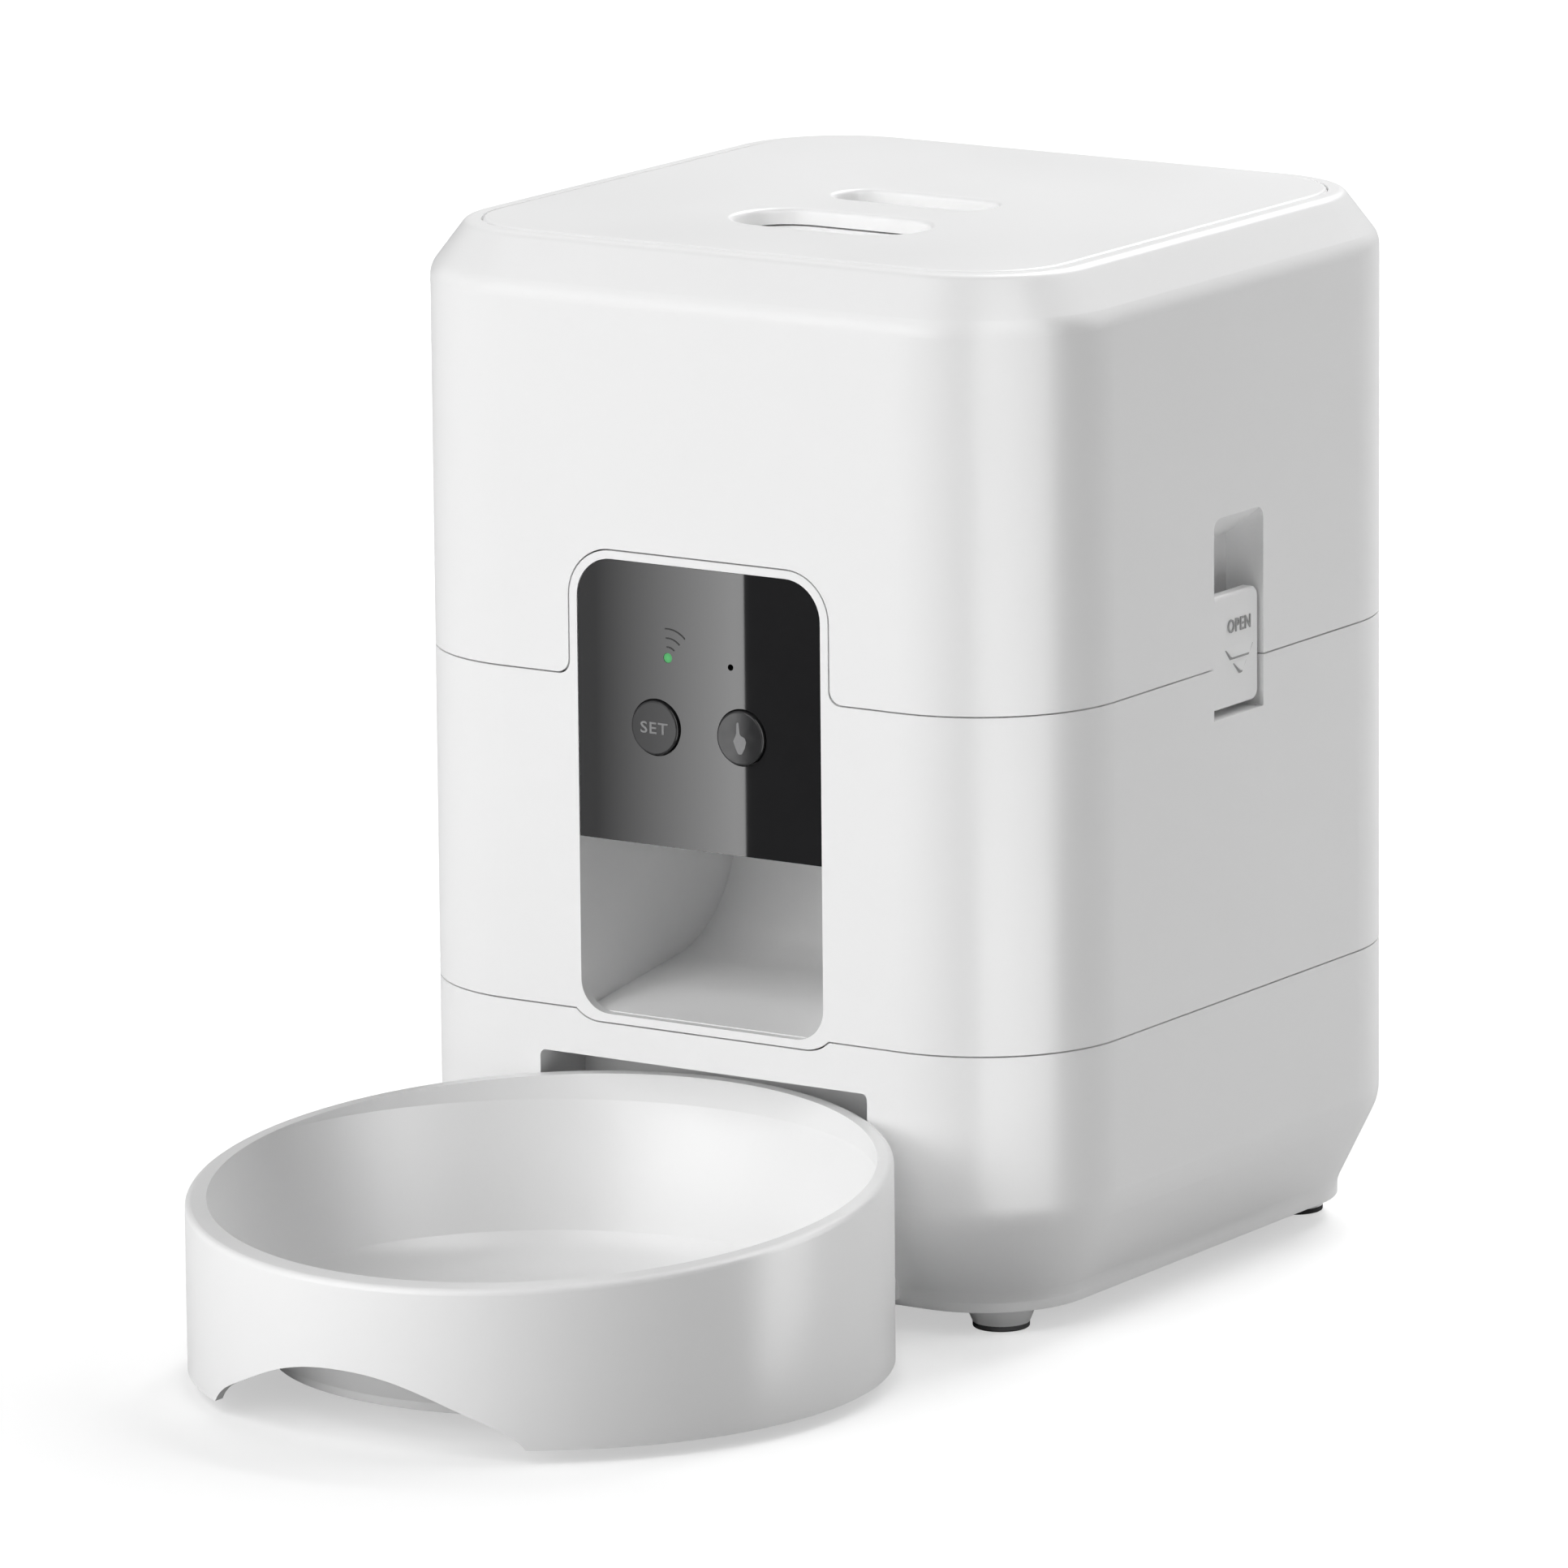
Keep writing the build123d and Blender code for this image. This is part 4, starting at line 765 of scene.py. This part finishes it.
def makeCard(name, left, right, low, high, material):
    # an upright card seen only in reflections; left and right are its edges on the floor plan
    bpy.ops.object.select_all(action="DESELECT")
    bpy.ops.mesh.primitive_plane_add(size=1)
    card = bpy.context.object
    ring = list(card.data.polygons[0].vertices)
    corners = ((left, low), (right, low), (right, high), (left, high))
    for index, (end, z) in zip(ring, corners):
        card.data.vertices[index].co = (end[0], end[1], z)
    card.name = name
    card.data.materials.append(material)
    card.visible_camera = False
    card.visible_diffuse = False
    card.visible_shadow = False
    card.visible_transmission = False


# A strip beside the right front corner, which draws the bright band down the rounded edge; in m
cornerCard = {
    "azimuth": 54.5, "distance": 0.125, "width": 0.118, "height": 0.45, "glow": 6.1,
    "cornerRadius": 37.5 * mm,   # of the housings
}
cornerMiddle = Vector((hopperHigh.x - cornerCard["cornerRadius"], midLow.y + cornerCard["cornerRadius"], 0))
outwards = directionTo(cornerCard["azimuth"], 0)
sideways = Vector((-outwards.y, outwards.x, 0))
cardMiddle = cornerMiddle + outwards * cornerCard["distance"]
cardEnds = [cardMiddle + sideways * cornerCard["width"] * share for share in (-0.5, 0.5)]
makeCard("cornerStrip", cardEnds[0], cardEnds[1], 0.0, cornerCard["height"],
         glowMaterial("cornerGlow", cardEnds[0][0], cardEnds[1][0], cornerCard["glow"], cornerCard["glow"]))

# What the gloss panel mirrors: a card that brightens towards a sharp edge, and black beyond it
panelCard = {
    "distance": 0.4,           # m in front of the panel
    "edge": 13.2,              # mm right of the panel's middle, where the bright card ends
    "reach": 46,               # mm either side of the middle that the cards cover
    "low": 100, "high": 200,   # mm, the height on the panel that they cover
    "lowest": 2,               # mm, the cards stay clear of the floor
    "climb": (-30, 10),        # mm right of the middle, where the glow starts and stops climbing
    "dark": 0.75, "bright": 5.8,
}


def mirroredThroughPanel(across, height):
    # where the camera's ray that meets the panel here meets the plane of the cards
    eye = camera.matrix_world.translation.copy()
    eye.y = 2 * panelLow.y - eye.y
    target = Vector((across * mm, panelLow.y, height * mm))
    depth = (eye.y - (panelLow.y - panelCard["distance"])) / (eye.y - target.y)
    return eye + (target - eye) * depth


eyeLevel = (panelCard["low"] + panelCard["high"]) / 2
cardLow = max(mirroredThroughPanel(0, panelCard["low"]).z, panelCard["lowest"] * mm)
cardHigh = mirroredThroughPanel(0, panelCard["high"]).z
cardLeft, climbLow, climbHigh, cardEdge, cardRight = [
    mirroredThroughPanel(across, eyeLevel)
    for across in (-panelCard["reach"], *panelCard["climb"], panelCard["edge"], panelCard["reach"])]
makeCard("panelGlow", cardLeft, cardEdge, cardLow, cardHigh,
         glowMaterial("panelGlow", climbLow.x, climbHigh.x, panelCard["dark"], panelCard["bright"]))
makeCard("panelShade", cardEdge, cardRight, cardLow, cardHigh,
         glowMaterial("panelShade", cardEdge.x, cardRight.x, 0.0, 0.0))

# The world is white to the camera and lights the object only faintly
world = bpy.data.worlds.new("paleStudio")
bpy.context.scene.world = world
world.use_nodes = True
worldTree = world.node_tree
worldTree.nodes.clear()
white = linear("#FFFFFF")
seen = addNode(worldTree, "ShaderNodeLightPath").outputs["Is Camera Ray"]
dim = addNode(worldTree, "ShaderNodeBackground", {"Color": white, "Strength": studio["ambient"]})
bright = addNode(worldTree, "ShaderNodeBackground", {"Color": white, "Strength": 1.0})
mixed = addNode(worldTree, "ShaderNodeMixShader", {0: seen, 1: dim.outputs[0], 2: bright.outputs[0]})
addNode(worldTree, "ShaderNodeOutputWorld", {"Surface": mixed.outputs[0]})

# A pale floor that is lifted towards white with distance, for the camera alone
bpy.ops.object.select_all(action="DESELECT")
bpy.ops.mesh.primitive_circle_add(vertices=96, radius=studio["floorRadius"], fill_type="NGON",
                                  location=(0, 0, -studio["floorDrop"]))
floor = startPiece("floor")
floorMaterial, floorTree, floorShader, floorPlace = newMaterial("paleFloor")
floorShader.inputs["Base Color"].default_value = linear(studio["floorColour"])
floorShader.inputs["Roughness"].default_value = 0.9
floorShader.inputs["Specular IOR Level"].default_value = 0.0
floorSeen = addNode(floorTree, "ShaderNodeLightPath").outputs["Is Camera Ray"]
away = addNode(floorTree, "ShaderNodeVectorMath", {0: floorPlace}, operation="LENGTH")
near, far = studio["liftOver"]
lift = addNode(floorTree, "ShaderNodeMapRange", {
    "Value": away.outputs["Value"], "From Min": near, "From Max": far,
    "To Min": studio["floorLift"][0], "To Max": studio["floorLift"][1]})
seenLift = addNode(floorTree, "ShaderNodeMath", {0: floorSeen, 1: lift.outputs["Result"]},
                   operation="MULTIPLY")
floorTree.links.new(seenLift.outputs[0], floorShader.inputs["Emission Strength"])
floorShader.inputs["Emission Color"].default_value = white
floor.data.materials.append(floorMaterial)

bpy.context.scene.view_settings.view_transform = "Standard"
print("studio lit")
